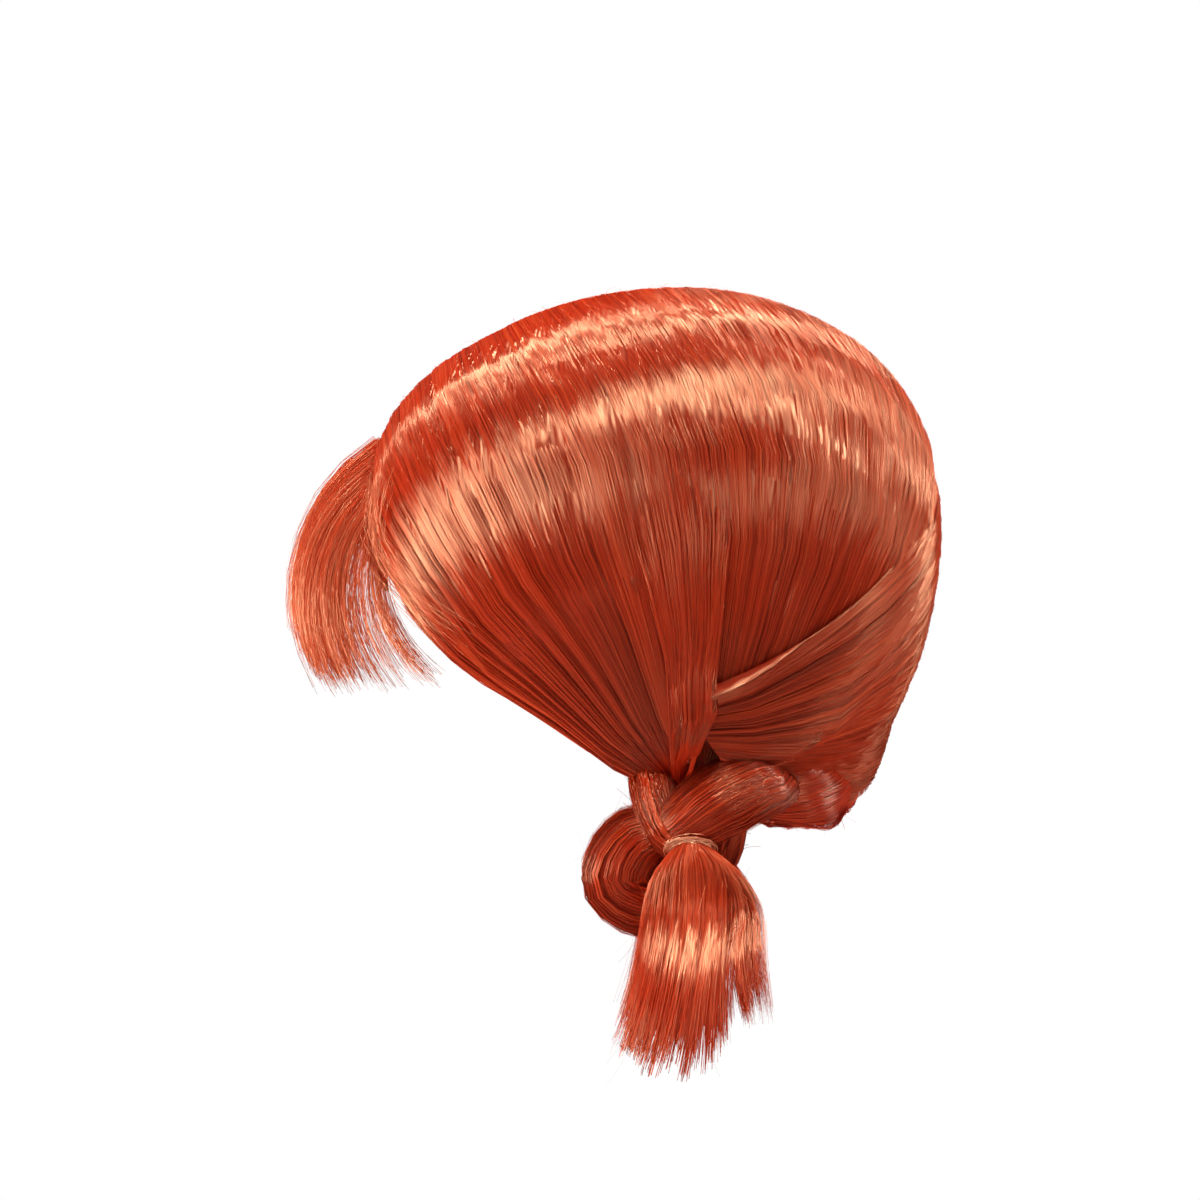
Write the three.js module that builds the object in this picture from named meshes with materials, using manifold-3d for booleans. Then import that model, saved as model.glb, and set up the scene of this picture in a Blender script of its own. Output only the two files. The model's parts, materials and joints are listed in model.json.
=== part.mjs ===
// Copper-red synthetic wig: centre parting, fringe, swept sides and two short looped plaits.
// Millimetres, +Z up. The wearer faces -Y and the wearer's left is +X.
// The origin is the crown of the head, on the inside of the cap.
import * as THREE from "three";
import { mergeVertices } from "three/addons/utils/BufferGeometryUtils.js";
import Module from "manifold-3d";

const wasm = await Module();
wasm.setup();

const { cos, sin, acos, atan2, hypot, abs, min, max, PI } = Math;
const { lerp, smoothstep, degToRad } = THREE.MathUtils;

// Driving dimensions
const HEAD_CENTRE = new THREE.Vector3(0, 5, -90);
const HEAD_HALF_WIDTH = 74;
const CAP_THICKNESS = 1.5;
const CAP_TILT_DEG = 56; // the cap's pole, up and back from the wearer's crown
const CAP_RIM_DEG = 104; // from that pole to the rim
const LAYER_GAP = 1.2; // between hair laid over the cap or over other hair
const EDGE_THICKNESS = 1.2; // of the hair at the thin edges of a sheet
const SEAT_GAP = 0.4; // round a piece that is let in between its neighbours
const ROOM_REACH = { first: 0.0025, last: 0.015 }; // past a sheet's first and last rows, as a share of it
const PARTING_HALF_GAP_DEG = 0.4;
const HANG_OFF = 11; // how far the hair hangs clear of the head at the gather

// Midline of the head by angle in the YZ plane: 0 is the back of the head, 90 the crown, 180 the face.
// hair is how far the hair stands off the head there.
const MIDLINE = [
  { deg: -120, head: 86, hair: 12 },
  { deg: -75, head: 86, hair: 17 },
  { deg: -45, head: 89, hair: 23 },
  { deg: -30, head: 90, hair: 14 },
  { deg: -10, head: 90.5, hair: 12 },
  { deg: 15, head: 95, hair: 11 },
  { deg: 42, head: 97, hair: 11.5 },
  { deg: 62, head: 94, hair: 10.5 },
  { deg: 93, head: 90.1, hair: 9.5 },
  { deg: 123, head: 91.5, hair: 9.5 },
  { deg: 140, head: 96, hair: 9.5 },
  { deg: 158, head: 99, hair: 7.5 },
  { deg: 205, head: 95, hair: 9 },
];

// Hair laid over the head in a sheet. Its hairs leave the midline between two angles and run
// to a gather, given by the side view's y and z of its front and rear hairs.
const SIDE_HAIR = {
  fromDeg: { front: 158, rear: 8 },
  gather: { front: { y: 9, z: -172 }, rear: { y: 31, z: -166 } },
  gatherOffset: 16.5,
  frontLift: 0.105, // how far the front hairs bow up from the straightest way, in head radii
  endOffset: 19.5,
  rearEnd: 0.8, // share of their way where the rear hairs end, under the back hair
  locks: 8,
  lockDepth: 3,
  steps: 12,
};
const BACK_HAIR = {
  fromDeg: { front: 21, rear: -46 },
  gather: { front: { y: 31.5, z: -136.5 }, rear: { y: 37, z: -167 } },
  gatherOffset: 22,
  endOffset: 24.5,
  locks: 5,
  lockDepth: 2.4,
  steps: 9,
};
const EAR_LOCK = {
  fromDeg: { front: 103, rear: 88.5 },
  gather: { front: { y: 18.5, z: -167 }, rear: { y: 24.8, z: -164.5 } },
  gatherOffset: 27,
  startShare: { middle: 0.4, edge: 0.52 }, // how far down the side hair the lock lifts off
  thickness: 4.5,
  columns: 5,
  steps: 9,
};

// Fringe: a curtain of locks from temple to temple that stands off the forehead
const FRINGE = {
  locks: 11,
  rootDeg: 156,
  rootShare: 0.31, // of the side hair's front edge that the roots follow
  rootOffset: 6.5,
  tipDeg: { middle: 199, temple: 211 },
  tipLateralDeg: 37,
  standOff: { middle: 24.5, temple: 7 },
  halfThickness: 2,
  notch: 0.16, // of a lock's length, between two tips
  lengthPattern: [1, 0.94, 1.03, 0.98],
  steps: 5,
};

// Plait of the left side: a row for each point that a strand runs through.
const PLAIT_STRANDS = {
  front: [
    { x: 57, y: 4.5, z: -168, halfWidth: 8.5, halfDepth: 5.5 },
    { x: 64, y: 6, z: -177, halfWidth: 8.8, halfDepth: 5.5 },
    { x: 68, y: 9, z: -186, halfWidth: 8, halfDepth: 5 },
    { x: 69, y: 15, z: -192, halfWidth: 6.5, halfDepth: 4.5 },
  ],
  rear: [
    { x: 53, y: 33, z: -169, halfWidth: 9, halfDepth: 5 },
    { x: 61, y: 41, z: -172, halfWidth: 10.5, halfDepth: 6 },
    { x: 70, y: 34, z: -176, halfWidth: 11, halfDepth: 6 },
    { x: 70, y: 23, z: -181, halfWidth: 10.5, halfDepth: 5.5 },
    { x: 66, y: 10, z: -187, halfWidth: 9, halfDepth: 5 },
  ],
  loop: [
    { x: 63, y: 12, z: -187, halfWidth: 8, halfDepth: 5 },
    { x: 63, y: -1, z: -191, halfWidth: 12.5, halfDepth: 8 },
    { x: 60, y: -7.5, z: -203.5, halfWidth: 14, halfDepth: 10 },
    { x: 57, y: 3, z: -211.5, halfWidth: 13, halfDepth: 9 },
    { x: 57, y: 16, z: -205, halfWidth: 9.5, halfDepth: 7 },
    { x: 60, y: 28, z: -194, halfWidth: 8, halfDepth: 6 },
    { x: 63, y: 33, z: -184, halfWidth: 5, halfDepth: 5 },
  ],
  knot: [
    { x: 57, y: 20, z: -163, halfWidth: 9, halfDepth: 4 },
    { x: 60, y: 22, z: -171, halfWidth: 9.5, halfDepth: 5 },
    { x: 63, y: 19, z: -182, halfWidth: 8, halfDepth: 4.5 },
    { x: 65, y: 16, z: -190, halfWidth: 6.5, halfDepth: 4 },
  ],
};
const TIE = { x: 73.5, y: 18, z: -192.5, halfLength: 9.5, halfDepth: 6.2, wire: 1.1, leanDeg: 35 };

// Tuft below the tie: a lock for each row, by where its tip hangs, how wide it is, and
// how much of its way to the side it has gone at its shoulder.
const TUFT_LOCKS = [
  { tipX: 78, tipY: -6.5, tipZ: -263, halfWidth: 7, fan: 0.44 },
  { tipX: 73, tipY: 2, tipZ: -278, halfWidth: 7.5, fan: 0.48 },
  { tipX: 79, tipY: 14, tipZ: -276, halfWidth: 8, fan: 0.5 },
  { tipX: 77, tipY: 26, tipZ: -268, halfWidth: 7, fan: 0.6 },
  { tipX: 77, tipY: 41, tipZ: -255, halfWidth: 7.5, fan: 0.72 },
];
const TUFT_HALF_DEPTH = 6.5;

// Nape roll, from the left plait round to the middle of the nape. The right half mirrors it.
const NAPE_ROLL = [
  { x: 53, y: 37, z: -173, halfHeight: 7, halfDepth: 5 },
  { x: 48, y: 50, z: -177, halfHeight: 9, halfDepth: 6.5 },
  { x: 34, y: 63, z: -178, halfHeight: 9, halfDepth: 7 },
  { x: 14, y: 69, z: -177, halfHeight: 8, halfDepth: 6.5 },
  { x: 0, y: 70, z: -176, halfHeight: 7.5, halfDepth: 6.5 },
];

// Finishes
const finish = (color, roughness) => new THREE.MeshStandardMaterial({ color, roughness, metalness: 0 });
const hairMaterial = finish(0xb4452a, 0.38);
const tuftMaterial = finish(0xc4553a, 0.42);
const capMaterial = finish(0x6e2a1c, 0.85);
const tieMaterial = finish(0xd9805f, 0.5);

// A column of the midline table at an angle, through a closed smooth curve.
function midline(deg, column) {
  const first = MIDLINE[0].deg;
  const wrapped = first + ((((deg - first) % 360) + 360) % 360);
  const row = (i) => {
    const turns = Math.floor(i / MIDLINE.length);
    const found = MIDLINE[i - turns * MIDLINE.length];
    return { deg: found.deg + 360 * turns, value: found[column] };
  };
  let i = MIDLINE.length - 1;
  while (row(i).deg > wrapped) i -= 1;
  const [before, a, b, after] = [row(i - 1), row(i), row(i + 1), row(i + 2)];
  const span = b.deg - a.deg;
  const slopeA = ((b.value - before.value) / (b.deg - before.deg)) * span;
  const slopeB = ((after.value - a.value) / (after.deg - a.deg)) * span;
  const t = (wrapped - a.deg) / span;
  const t2 = t * t;
  const t3 = t2 * t;
  const fromStart = (2 * t3 - 3 * t2 + 1) * a.value + (t3 - 2 * t2 + t) * slopeA;
  const fromEnd = (3 * t2 - 2 * t3) * b.value + (t3 - t2) * slopeB;
  return fromStart + fromEnd;
}

const angleOf = (direction) => (atan2(direction.z, direction.y) * 180) / PI;

// Unit direction from the head's centre, by midline angle and by angle towards the left ear.
function directionAt(deg, lateralDeg = 0) {
  const across = degToRad(lateralDeg);
  const round = degToRad(deg);
  return new THREE.Vector3(sin(across), cos(across) * cos(round), cos(across) * sin(round));
}

// The point of the head's surface in a direction, or one that stands off it.
function headPoint(direction, offset) {
  const radius = midline(angleOf(direction), "head") + offset;
  return new THREE.Vector3(
    HEAD_CENTRE.x + (HEAD_HALF_WIDTH + offset) * direction.x,
    HEAD_CENTRE.y + radius * direction.y,
    HEAD_CENTRE.z + radius * direction.z,
  );
}

// The direction on the left side whose point at that offset has the side view's y and z.
function sideDirection({ y, z }, offset) {
  const deg = (atan2(z - HEAD_CENTRE.z, y - HEAD_CENTRE.y) * 180) / PI;
  const reach = hypot(y - HEAD_CENTRE.y, z - HEAD_CENTRE.z) / (midline(deg, "head") + offset);
  return directionAt(deg, (acos(min(1, reach)) * 180) / PI);
}

// A share of the way along the great circle between two directions.
function along(from, to, share) {
  const angle = acos(from.dot(to));
  return from
    .clone()
    .multiplyScalar(sin((1 - share) * angle) / sin(angle))
    .addScaledVector(to, sin(share * angle) / sin(angle));
}

// The direction at a share across a hair sheet, front to rear, and a share along its hairs.
function hairDirection(sheet, across, down) {
  const deg = lerp(sheet.fromDeg.front, sheet.fromDeg.rear, across);
  const { front, rear } = sheet.gather;
  const end = { y: lerp(front.y, rear.y, across), z: lerp(front.z, rear.z, across) };
  const reach = down * lerp(1, sheet.rearEnd ?? 1, smoothstep(across, 0.7, 1));
  const way = along(directionAt(deg, PARTING_HALF_GAP_DEG), sideDirection(end, sheet.gatherOffset), reach);
  way.z += (sheet.frontLift ?? 0) * sin(PI * down ** 1.5) * (1 - across) ** 4;
  return way.normalize();
}

// Round crests with narrow valleys between them, from 0 in a valley to 1 on a crest.
const lockCrest = (across, locks) => abs(sin(PI * locks * across));

// How far hair stands off the head along its length: low in the parting, then full, then gathered.
function hairHeight(sheet, down, full) {
  const parting = lerp(0.5, 1.06, smoothstep(down, 0, 0.09));
  const gathered = smoothstep(down, 0.72, 1);
  return lerp(full * parting, sheet.endOffset, gathered);
}

// Where a direction lies in a hair sheet: the hair that passes through it, and the share along that hair.
function placeIn(sheet, direction) {
  const side = (across) => {
    const from = hairDirection(sheet, across, 0);
    return from.cross(hairDirection(sheet, across, 1)).normalize().dot(direction);
  };
  let [low, high] = [0, 1];
  const beside = side(low) * side(high) > 0;
  if (beside) [low, high] = abs(side(low)) < abs(side(high)) ? [0, 0] : [1, 1];
  for (let i = 0; i < 24; i += 1) {
    const middle = (low + high) / 2;
    if (side(low) * side(middle) <= 0) high = middle;
    else low = middle;
  }
  const from = hairDirection(sheet, low, 0);
  const down = from.angleTo(direction) / from.angleTo(hairDirection(sheet, low, 1));
  return { across: low, down: min(1, down), outside: beside || down > 1.02 };
}

// Offsets of the side hair's faces from the head. It thins out to the rear, under the back hair.
const overCap = (down) => CAP_THICKNESS + LAYER_GAP + HANG_OFF * smoothstep(down, 0.6, 1);
const sideInner = (across, down) => overCap(down);
function sideCrest(across, down) {
  const deg = lerp(SIDE_HAIR.fromDeg.front, SIDE_HAIR.fromDeg.rear, across);
  const height = hairHeight(SIDE_HAIR, down, midline(deg, "hair"));
  const edge = lerp(0.62, 1, smoothstep(across, 0, 0.06));
  const thinnest = sideInner(across, down) + EDGE_THICKNESS;
  return max(thinnest, lerp(height * edge, thinnest, smoothstep(across, 0.84, 1)));
}
function sideOuter(across, down) {
  const valley = SIDE_HAIR.lockDepth * smoothstep(down, 0.1, 0.4) * (1 - lockCrest(across, SIDE_HAIR.locks));
  return max(sideCrest(across, down) - valley, sideInner(across, down) + EDGE_THICKNESS);
}

// The back hair lies on the side hair in front and on the cap behind it.
function backInner(across, down) {
  const under = placeIn(SIDE_HAIR, hairDirection(BACK_HAIR, across, down));
  const overSide = under.outside ? 0 : sideCrest(under.across, under.down) + LAYER_GAP + SEAT_GAP;
  return max(overCap(down), overSide);
}
function backCrest(across, down) {
  const deg = lerp(BACK_HAIR.fromDeg.front, BACK_HAIR.fromDeg.rear, across);
  const height = hairHeight(BACK_HAIR, down, midline(deg, "hair"));
  const rising = lerp(EDGE_THICKNESS, 4.5, smoothstep(across, 0, 0.15));
  return max(height, backInner(across, down) + rising);
}
function backOuter(across, down) {
  const valley = BACK_HAIR.lockDepth * smoothstep(down, 0.05, 0.3) * (1 - lockCrest(across, BACK_HAIR.locks));
  return max(backCrest(across, down) - valley, backInner(across, down) + EDGE_THICKNESS);
}

// What lies under the ear lock at a direction: the back hair's end, or else the side hair.
function underEarLock(direction) {
  const back = placeIn(BACK_HAIR, direction);
  if (!back.outside) return backCrest(back.across, back.down);
  const side = placeIn(SIDE_HAIR, direction);
  return sideCrest(side.across, side.down);
}

// Closed solid from a grid of outer and inner points, joined round its four edges.
function shell(columns, steps, outer, inner) {
  const points = [];
  const index = (layer, i, j) => (layer * (columns + 1) + i) * (steps + 1) + j;
  for (const face of [outer, inner]) {
    for (let i = 0; i <= columns; i += 1) {
      for (let j = 0; j <= steps; j += 1) points.push(...face(i / columns, j / steps).toArray());
    }
  }
  const faces = [];
  const quad = (a, b, c, d) => faces.push(a, b, c, a, c, d);
  for (let i = 0; i < columns; i += 1) {
    for (let j = 0; j < steps; j += 1) {
      quad(index(0, i, j), index(0, i + 1, j), index(0, i + 1, j + 1), index(0, i, j + 1));
      quad(index(1, i, j), index(1, i, j + 1), index(1, i + 1, j + 1), index(1, i + 1, j));
    }
  }
  for (let i = 0; i < columns; i += 1) {
    quad(index(0, i + 1, 0), index(0, i, 0), index(1, i, 0), index(1, i + 1, 0));
    quad(index(0, i, steps), index(0, i + 1, steps), index(1, i + 1, steps), index(1, i, steps));
  }
  for (let j = 0; j < steps; j += 1) {
    quad(index(0, 0, j), index(0, 0, j + 1), index(1, 0, j + 1), index(1, 0, j));
    quad(index(0, columns, j + 1), index(0, columns, j), index(1, columns, j), index(1, columns, j + 1));
  }
  return facingOut(meshGeometry(points, faces));
}

// Closed solid swept through oval sections, each with its centre, its two half axes and their sizes.
function bundle(sections, sides) {
  const points = [];
  for (const { centre, wide, deep, halfWidth, halfDepth } of sections) {
    for (let k = 0; k < sides; k += 1) {
      const turn = (2 * PI * k) / sides;
      const point = centre.clone();
      point.addScaledVector(wide, halfWidth * cos(turn)).addScaledVector(deep, halfDepth * sin(turn));
      points.push(...point.toArray());
    }
  }
  const last = sections.length - 1;
  points.push(...sections[0].centre.toArray(), ...sections[last].centre.toArray());
  const [startPole, endPole] = [sections.length * sides, sections.length * sides + 1];
  const faces = [];
  for (let k = 0; k < sides; k += 1) {
    const next = (k + 1) % sides;
    for (let i = 0; i < last; i += 1) {
      const [a, b] = [i * sides, (i + 1) * sides];
      faces.push(a + k, a + next, b + next, a + k, b + next, b + k);
    }
    faces.push(startPole, next, k, endPole, last * sides + k, last * sides + next);
  }
  return facingOut(meshGeometry(points, faces));
}

function meshGeometry(points, faces) {
  const geometry = new THREE.BufferGeometry();
  geometry.setAttribute("position", new THREE.Float32BufferAttribute(points, 3));
  geometry.setIndex(faces);
  return geometry;
}

// Turns a closed geometry's faces round if they point inwards.
function facingOut(geometry) {
  const position = geometry.getAttribute("position");
  const corners = geometry.index.array;
  const [a, b, c] = [new THREE.Vector3(), new THREE.Vector3(), new THREE.Vector3()];
  let volume = 0;
  for (let i = 0; i < corners.length; i += 3) {
    a.fromBufferAttribute(position, corners[i]);
    b.fromBufferAttribute(position, corners[i + 1]);
    c.fromBufferAttribute(position, corners[i + 2]);
    volume += a.dot(b.cross(c));
  }
  if (volume < 0) corners.reverse();
  return geometry;
}

// Sections along a smooth curve through points that carry their own sizes. outward sets how a section lies.
function strandSections(rows, count, outward, halfWidthKey = "halfWidth") {
  const curve = new THREE.CatmullRomCurve3(rows.map(({ x, y, z }) => new THREE.Vector3(x, y, z)));
  return Array.from({ length: count }, (_, i) => {
    const t = i / (count - 1);
    const tangent = curve.getTangent(t);
    const wide = tangent.clone().cross(outward(t)).normalize();
    const deep = wide.clone().cross(tangent).normalize();
    const at = t * (rows.length - 1);
    const row = min(rows.length - 2, Math.floor(at));
    const size = (key) => lerp(rows[row][key], rows[row + 1][key], at - row);
    return { centre: curve.getPoint(t), wide, deep, halfWidth: size(halfWidthKey), halfDepth: size("halfDepth") };
  });
}

// A closed body that can be joined and cut
function solid(geometry) {
  const merged = mergeVertices(geometry.clone().deleteAttribute("normal"), 1e-4);
  return new wasm.Manifold(
    new wasm.Mesh({
      numProp: 3,
      vertProperties: merged.getAttribute("position").array,
      triVerts: new Uint32Array(merged.index.array),
    }),
  );
}
function geometryOf(body) {
  const { vertProperties, triVerts } = body.getMesh();
  return meshGeometry(Array.from(vertProperties), Array.from(triVerts));
}
const joined = (geometries) => geometries.map(solid).reduce((whole, piece) => whole.add(piece));

// The geometry pushed out along its normals, which leaves a gap round what it cuts.
function grown(geometry, gap) {
  const fat = mergeVertices(geometry.clone(), 1e-4);
  fat.computeVertexNormals();
  const [position, normal] = [fat.getAttribute("position"), fat.getAttribute("normal")];
  for (let i = 0; i < position.count; i += 1) {
    position.setXYZ(
      i,
      position.getX(i) + gap * normal.getX(i),
      position.getY(i) + gap * normal.getY(i),
      position.getZ(i) + gap * normal.getZ(i),
    );
  }
  return fat;
}
// Keeps the largest body of a solid once the room round its neighbours is cut from it.
function letIn(body, rooms) {
  const cut = rooms.reduce((left, room) => left.subtract(solid(room)), body);
  const bodies = cut.decompose().sort((one, two) => two.volume() - one.volume());
  return geometryOf(bodies[0]);
}
const mirrored = (geometry) => facingOut(geometry.clone().scale(-1, 1, 1));

// The cap: a thin shell round its own pole, open below its rim.
function capGeometry() {
  const [around, rings] = [26, 7];
  const pole = directionAt(CAP_TILT_DEG);
  const left = new THREE.Vector3(1, 0, 0);
  const front = left.clone().cross(pole);
  const at = (turn, share, offset) => {
    const tilt = degToRad(CAP_RIM_DEG * share);
    const heading = front.clone().multiplyScalar(cos(turn)).addScaledVector(left, sin(turn));
    return headPoint(pole.clone().multiplyScalar(cos(tilt)).addScaledVector(heading, sin(tilt)), offset);
  };
  const points = [];
  for (const offset of [CAP_THICKNESS, 0]) {
    points.push(...headPoint(pole, offset).toArray());
    for (let r = 1; r <= rings; r += 1) {
      for (let k = 0; k < around; k += 1) points.push(...at((2 * PI * k) / around, r / rings, offset).toArray());
    }
  }
  const layer = 1 + rings * around;
  const index = (side, r, k) => side * layer + 1 + (r - 1) * around + (k % around);
  const faces = [];
  for (let k = 0; k < around; k += 1) {
    faces.push(0, index(0, 1, k), index(0, 1, k + 1), layer, index(1, 1, k + 1), index(1, 1, k));
    for (let r = 1; r < rings; r += 1) {
      const [a, b, c, d] = [index(0, r, k), index(0, r + 1, k), index(0, r + 1, k + 1), index(0, r, k + 1)];
      faces.push(a, b, c, a, c, d);
      const [e, f, g, h] = [index(1, r, k), index(1, r + 1, k), index(1, r + 1, k + 1), index(1, r, k + 1)];
      faces.push(e, g, f, e, h, g);
    }
    const [a, b, c, d] = [index(0, rings, k), index(1, rings, k), index(1, rings, k + 1), index(0, rings, k + 1)];
    faces.push(a, b, c, a, c, d);
  }
  return facingOut(meshGeometry(points, faces));
}

// A share across a sheet, with its first and last rows further out where room is asked for.
function rimReach(share, room) {
  if (room === 0) return share;
  if (share === 0) return -ROOM_REACH.first;
  return share === 1 ? 1 + ROOM_REACH.last : share;
}

// The solid of a hair sheet. With room, it is that much larger all round.
function sheetGeometry(sheet, columns, inner, outer, room = 0) {
  const face = (offset, grow) => (acrossShare, downShare) => {
    const across = rimReach(acrossShare, room);
    const down = max(0, rimReach(downShare, room));
    return headPoint(hairDirection(sheet, across, down), offset(across, down) + grow);
  };
  return shell(columns, sheet.steps, face(outer, room), face(inner, -room));
}

const COLUMNS_PER_LOCK = 3;
const sideHairGeometry = () =>
  sheetGeometry(SIDE_HAIR, SIDE_HAIR.locks * COLUMNS_PER_LOCK, sideInner, sideOuter);
const sideHairRoom = () =>
  sheetGeometry(SIDE_HAIR, SIDE_HAIR.locks * COLUMNS_PER_LOCK, sideInner, sideCrest, SEAT_GAP);
const backHairGeometry = () =>
  sheetGeometry(BACK_HAIR, BACK_HAIR.locks * COLUMNS_PER_LOCK, backInner, backOuter);
const backHairRoom = () =>
  sheetGeometry(BACK_HAIR, BACK_HAIR.locks * COLUMNS_PER_LOCK, backInner, backCrest, SEAT_GAP);

// The ear lock lies over the side hair, then over the end of the back hair.
function earLockGeometry(room = 0) {
  const { startShare, thickness, columns, steps } = EAR_LOCK;
  const at = (across, down, lift) => {
    const start = lerp(startShare.middle, startShare.edge, (2 * across - 1) ** 2);
    const share = lerp(start, 1, max(0, rimReach(down, room)));
    const direction = hairDirection(EAR_LOCK, rimReach(across, room), share);
    return headPoint(direction, underEarLock(direction) + 2 * SEAT_GAP + lift);
  };
  const fullRise = (across) => thickness * lerp(0.4, 1, sin(PI * across));
  const rise = (across, down) => lerp(0.8, fullRise(across), smoothstep(down, 0, 0.6));
  return shell(
    columns,
    steps,
    (across, down) => at(across, down, rise(across, down) + room),
    (across, down) => at(across, down, -room),
  );
}

// The fringe: its roots follow the front hairline, and it stands off the forehead in notched locks.
function fringeGeometry(rooms) {
  const gather = sideDirection(SIDE_HAIR.gather.front, SIDE_HAIR.gatherOffset);
  const root = (side) => {
    const edge = along(directionAt(FRINGE.rootDeg), gather, FRINGE.rootShare * abs(side));
    return edge.setX(edge.x * Math.sign(side));
  };
  const tip = (side) =>
    directionAt(lerp(FRINGE.tipDeg.middle, FRINGE.tipDeg.temple, abs(side)), FRINGE.tipLateralDeg * side);
  const at = (across, down, thicker) => {
    const side = 2 * across - 1;
    const crest = lockCrest(across, FRINGE.locks);
    const lock = min(FRINGE.locks - 1, Math.floor(across * FRINGE.locks));
    const fullLength = FRINGE.lengthPattern[lock % FRINGE.lengthPattern.length];
    const length = fullLength * lerp(1 - FRINGE.notch, 1, crest);
    const share = length * down;
    const standOff = lerp(FRINGE.standOff.middle, FRINGE.standOff.temple, smoothstep(abs(side), 0.1, 1));
    const lift = FRINGE.rootOffset + standOff * sin(degToRad(105) * share ** 0.9);
    const thickness = FRINGE.halfThickness * lerp(1, 0.35, down) * lerp(0.6, 1, crest);
    return headPoint(along(root(side), tip(side), share), lift + thicker * thickness);
  };
  const curtain = shell(
    FRINGE.locks * COLUMNS_PER_LOCK,
    FRINGE.steps,
    (across, down) => at(across, down, 1),
    (across, down) => at(across, down, -1),
  );
  return letIn(solid(curtain), rooms);
}

// The plait's strands are pressed together, so they are one solid.
function braidGeometry(rooms) {
  const outward = () => new THREE.Vector3(1, 0, 0);
  const round = (t) => new THREE.Vector3(cos(PI * (t - 0.25)), sin(PI * (t - 0.25)), 0.2);
  const strands = [
    bundle(strandSections(PLAIT_STRANDS.front, 5, outward), 8),
    bundle(strandSections(PLAIT_STRANDS.rear, 9, round), 9),
    bundle(strandSections(PLAIT_STRANDS.loop, 10, outward), 9),
    bundle(strandSections(PLAIT_STRANDS.knot, 4, outward), 7),
  ];
  return letIn(joined(strands), rooms);
}

// The tie: an oval ring of elastic round the plait's end, leaning outwards with the hair.
function tieGeometry() {
  const ring = new THREE.TorusGeometry(TIE.halfLength, TIE.wire, 6, 16);
  ring.deleteAttribute("normal").deleteAttribute("uv");
  ring.scale(TIE.halfDepth / TIE.halfLength, 1, 1);
  return mergeVertices(ring, 1e-3).rotateY(degToRad(-TIE.leanDeg)).translate(TIE.x, TIE.y, TIE.z);
}

// The tuft: locks that leave the tie together, fan out and fall.
function tuftGeometry(rooms) {
  const root = new THREE.Vector3(TIE.x + 1.5, TIE.y, TIE.z - 2);
  const outward = () => new THREE.Vector3(1, 0, 0);
  const locks = TUFT_LOCKS.map(({ tipX, tipY, tipZ, halfWidth, fan }) => {
    const aside = (share) => lerp(root.y, tipY, share);
    const fall = (share) => lerp(root.z, tipZ, share);
    const rows = [
      { x: root.x, y: aside(0.12), z: root.z, halfWidth: 6, halfDepth: 4 },
      { x: root.x + 5, y: aside(fan), z: fall(0.22), halfWidth, halfDepth: TUFT_HALF_DEPTH },
      { x: lerp(root.x + 6, tipX, 0.5), y: aside(lerp(fan, 1, 0.5)), z: fall(0.64), halfWidth, halfDepth: 6 },
      { x: tipX, y: tipY, z: tipZ, halfWidth: 0.7 * halfWidth, halfDepth: 2 },
    ];
    return bundle(strandSections(rows, 7, outward), 7);
  });
  return letIn(joined(locks), rooms);
}

// The nape roll, from one plait round the nape to the other.
function napeRollGeometry(rooms) {
  const right = NAPE_ROLL.slice(0, -1).map((row) => ({ ...row, x: -row.x }));
  const rows = [...NAPE_ROLL, ...right.reverse()];
  const upright = () => new THREE.Vector3(0, 0.35, 1);
  const sections = strandSections(rows, 17, upright, "halfDepth");
  const heights = strandSections(rows, 17, upright, "halfHeight").map((section) => section.halfWidth);
  const standing = sections.map((section, i) => ({ ...section, halfDepth: heights[i] }));
  return letIn(solid(bundle(standing, 9)), rooms);
}

// Assembly
function named(name, geometry, material) {
  const mesh = new THREE.Mesh(geometry, material.clone());
  mesh.name = name;
  return mesh;
}

const cap = capGeometry();
const sideHair = sideHairGeometry();
const sideRoom = sideHairRoom();
const backHair = letIn(solid(backHairGeometry()), [sideRoom]);
const backRoom = backHairRoom();
const earLock = earLockGeometry();
const napeRoll = napeRollGeometry([backRoom, mirrored(backRoom), sideRoom, mirrored(sideRoom)]);
const tie = tieGeometry();
const tieRoom = grown(tie, SEAT_GAP);
const braid = braidGeometry([
  sideRoom,
  backRoom,
  earLockGeometry(SEAT_GAP),
  grown(napeRoll, SEAT_GAP),
  tieRoom,
]);
const tuft = tuftGeometry([grown(braid, SEAT_GAP), tieRoom]);
const fringe = fringeGeometry([grown(cap, SEAT_GAP), sideRoom, mirrored(sideRoom)]);

const wig = new THREE.Group();
wig.add(
  named("cap", cap, capMaterial),
  named("fringe", fringe, hairMaterial),
  named("nape_roll", napeRoll, hairMaterial),
);
for (const [side, sign] of [
  ["left", 1],
  ["right", -1],
]) {
  const half = new THREE.Group();
  half.scale.x = sign;
  half.add(
    named(`${side}_side_hair`, sideHair, hairMaterial),
    named(`${side}_back_hair`, backHair, hairMaterial),
    named(`${side}_ear_lock`, earLock, hairMaterial),
    named(`${side}_braid`, braid, hairMaterial),
    named(`${side}_braid_tie`, tie, tieMaterial),
    named(`${side}_tuft`, tuft, tuftMaterial),
  );
  wig.add(half);
}

export default wig;
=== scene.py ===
"""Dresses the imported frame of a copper-red synthetic wig with combed fibre, and lights it.

Lengths are millimetres until a mesh is made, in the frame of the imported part: +Z is up, the
wearer faces -Y, and the wearer's left is +X. The origin is the crown of the wearer's head.
"""

import json
import logging
import math
from dataclasses import dataclass, field
from enum import Enum
from typing import ClassVar

import bpy
import numpy as np
from mathutils import Matrix, Vector

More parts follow.
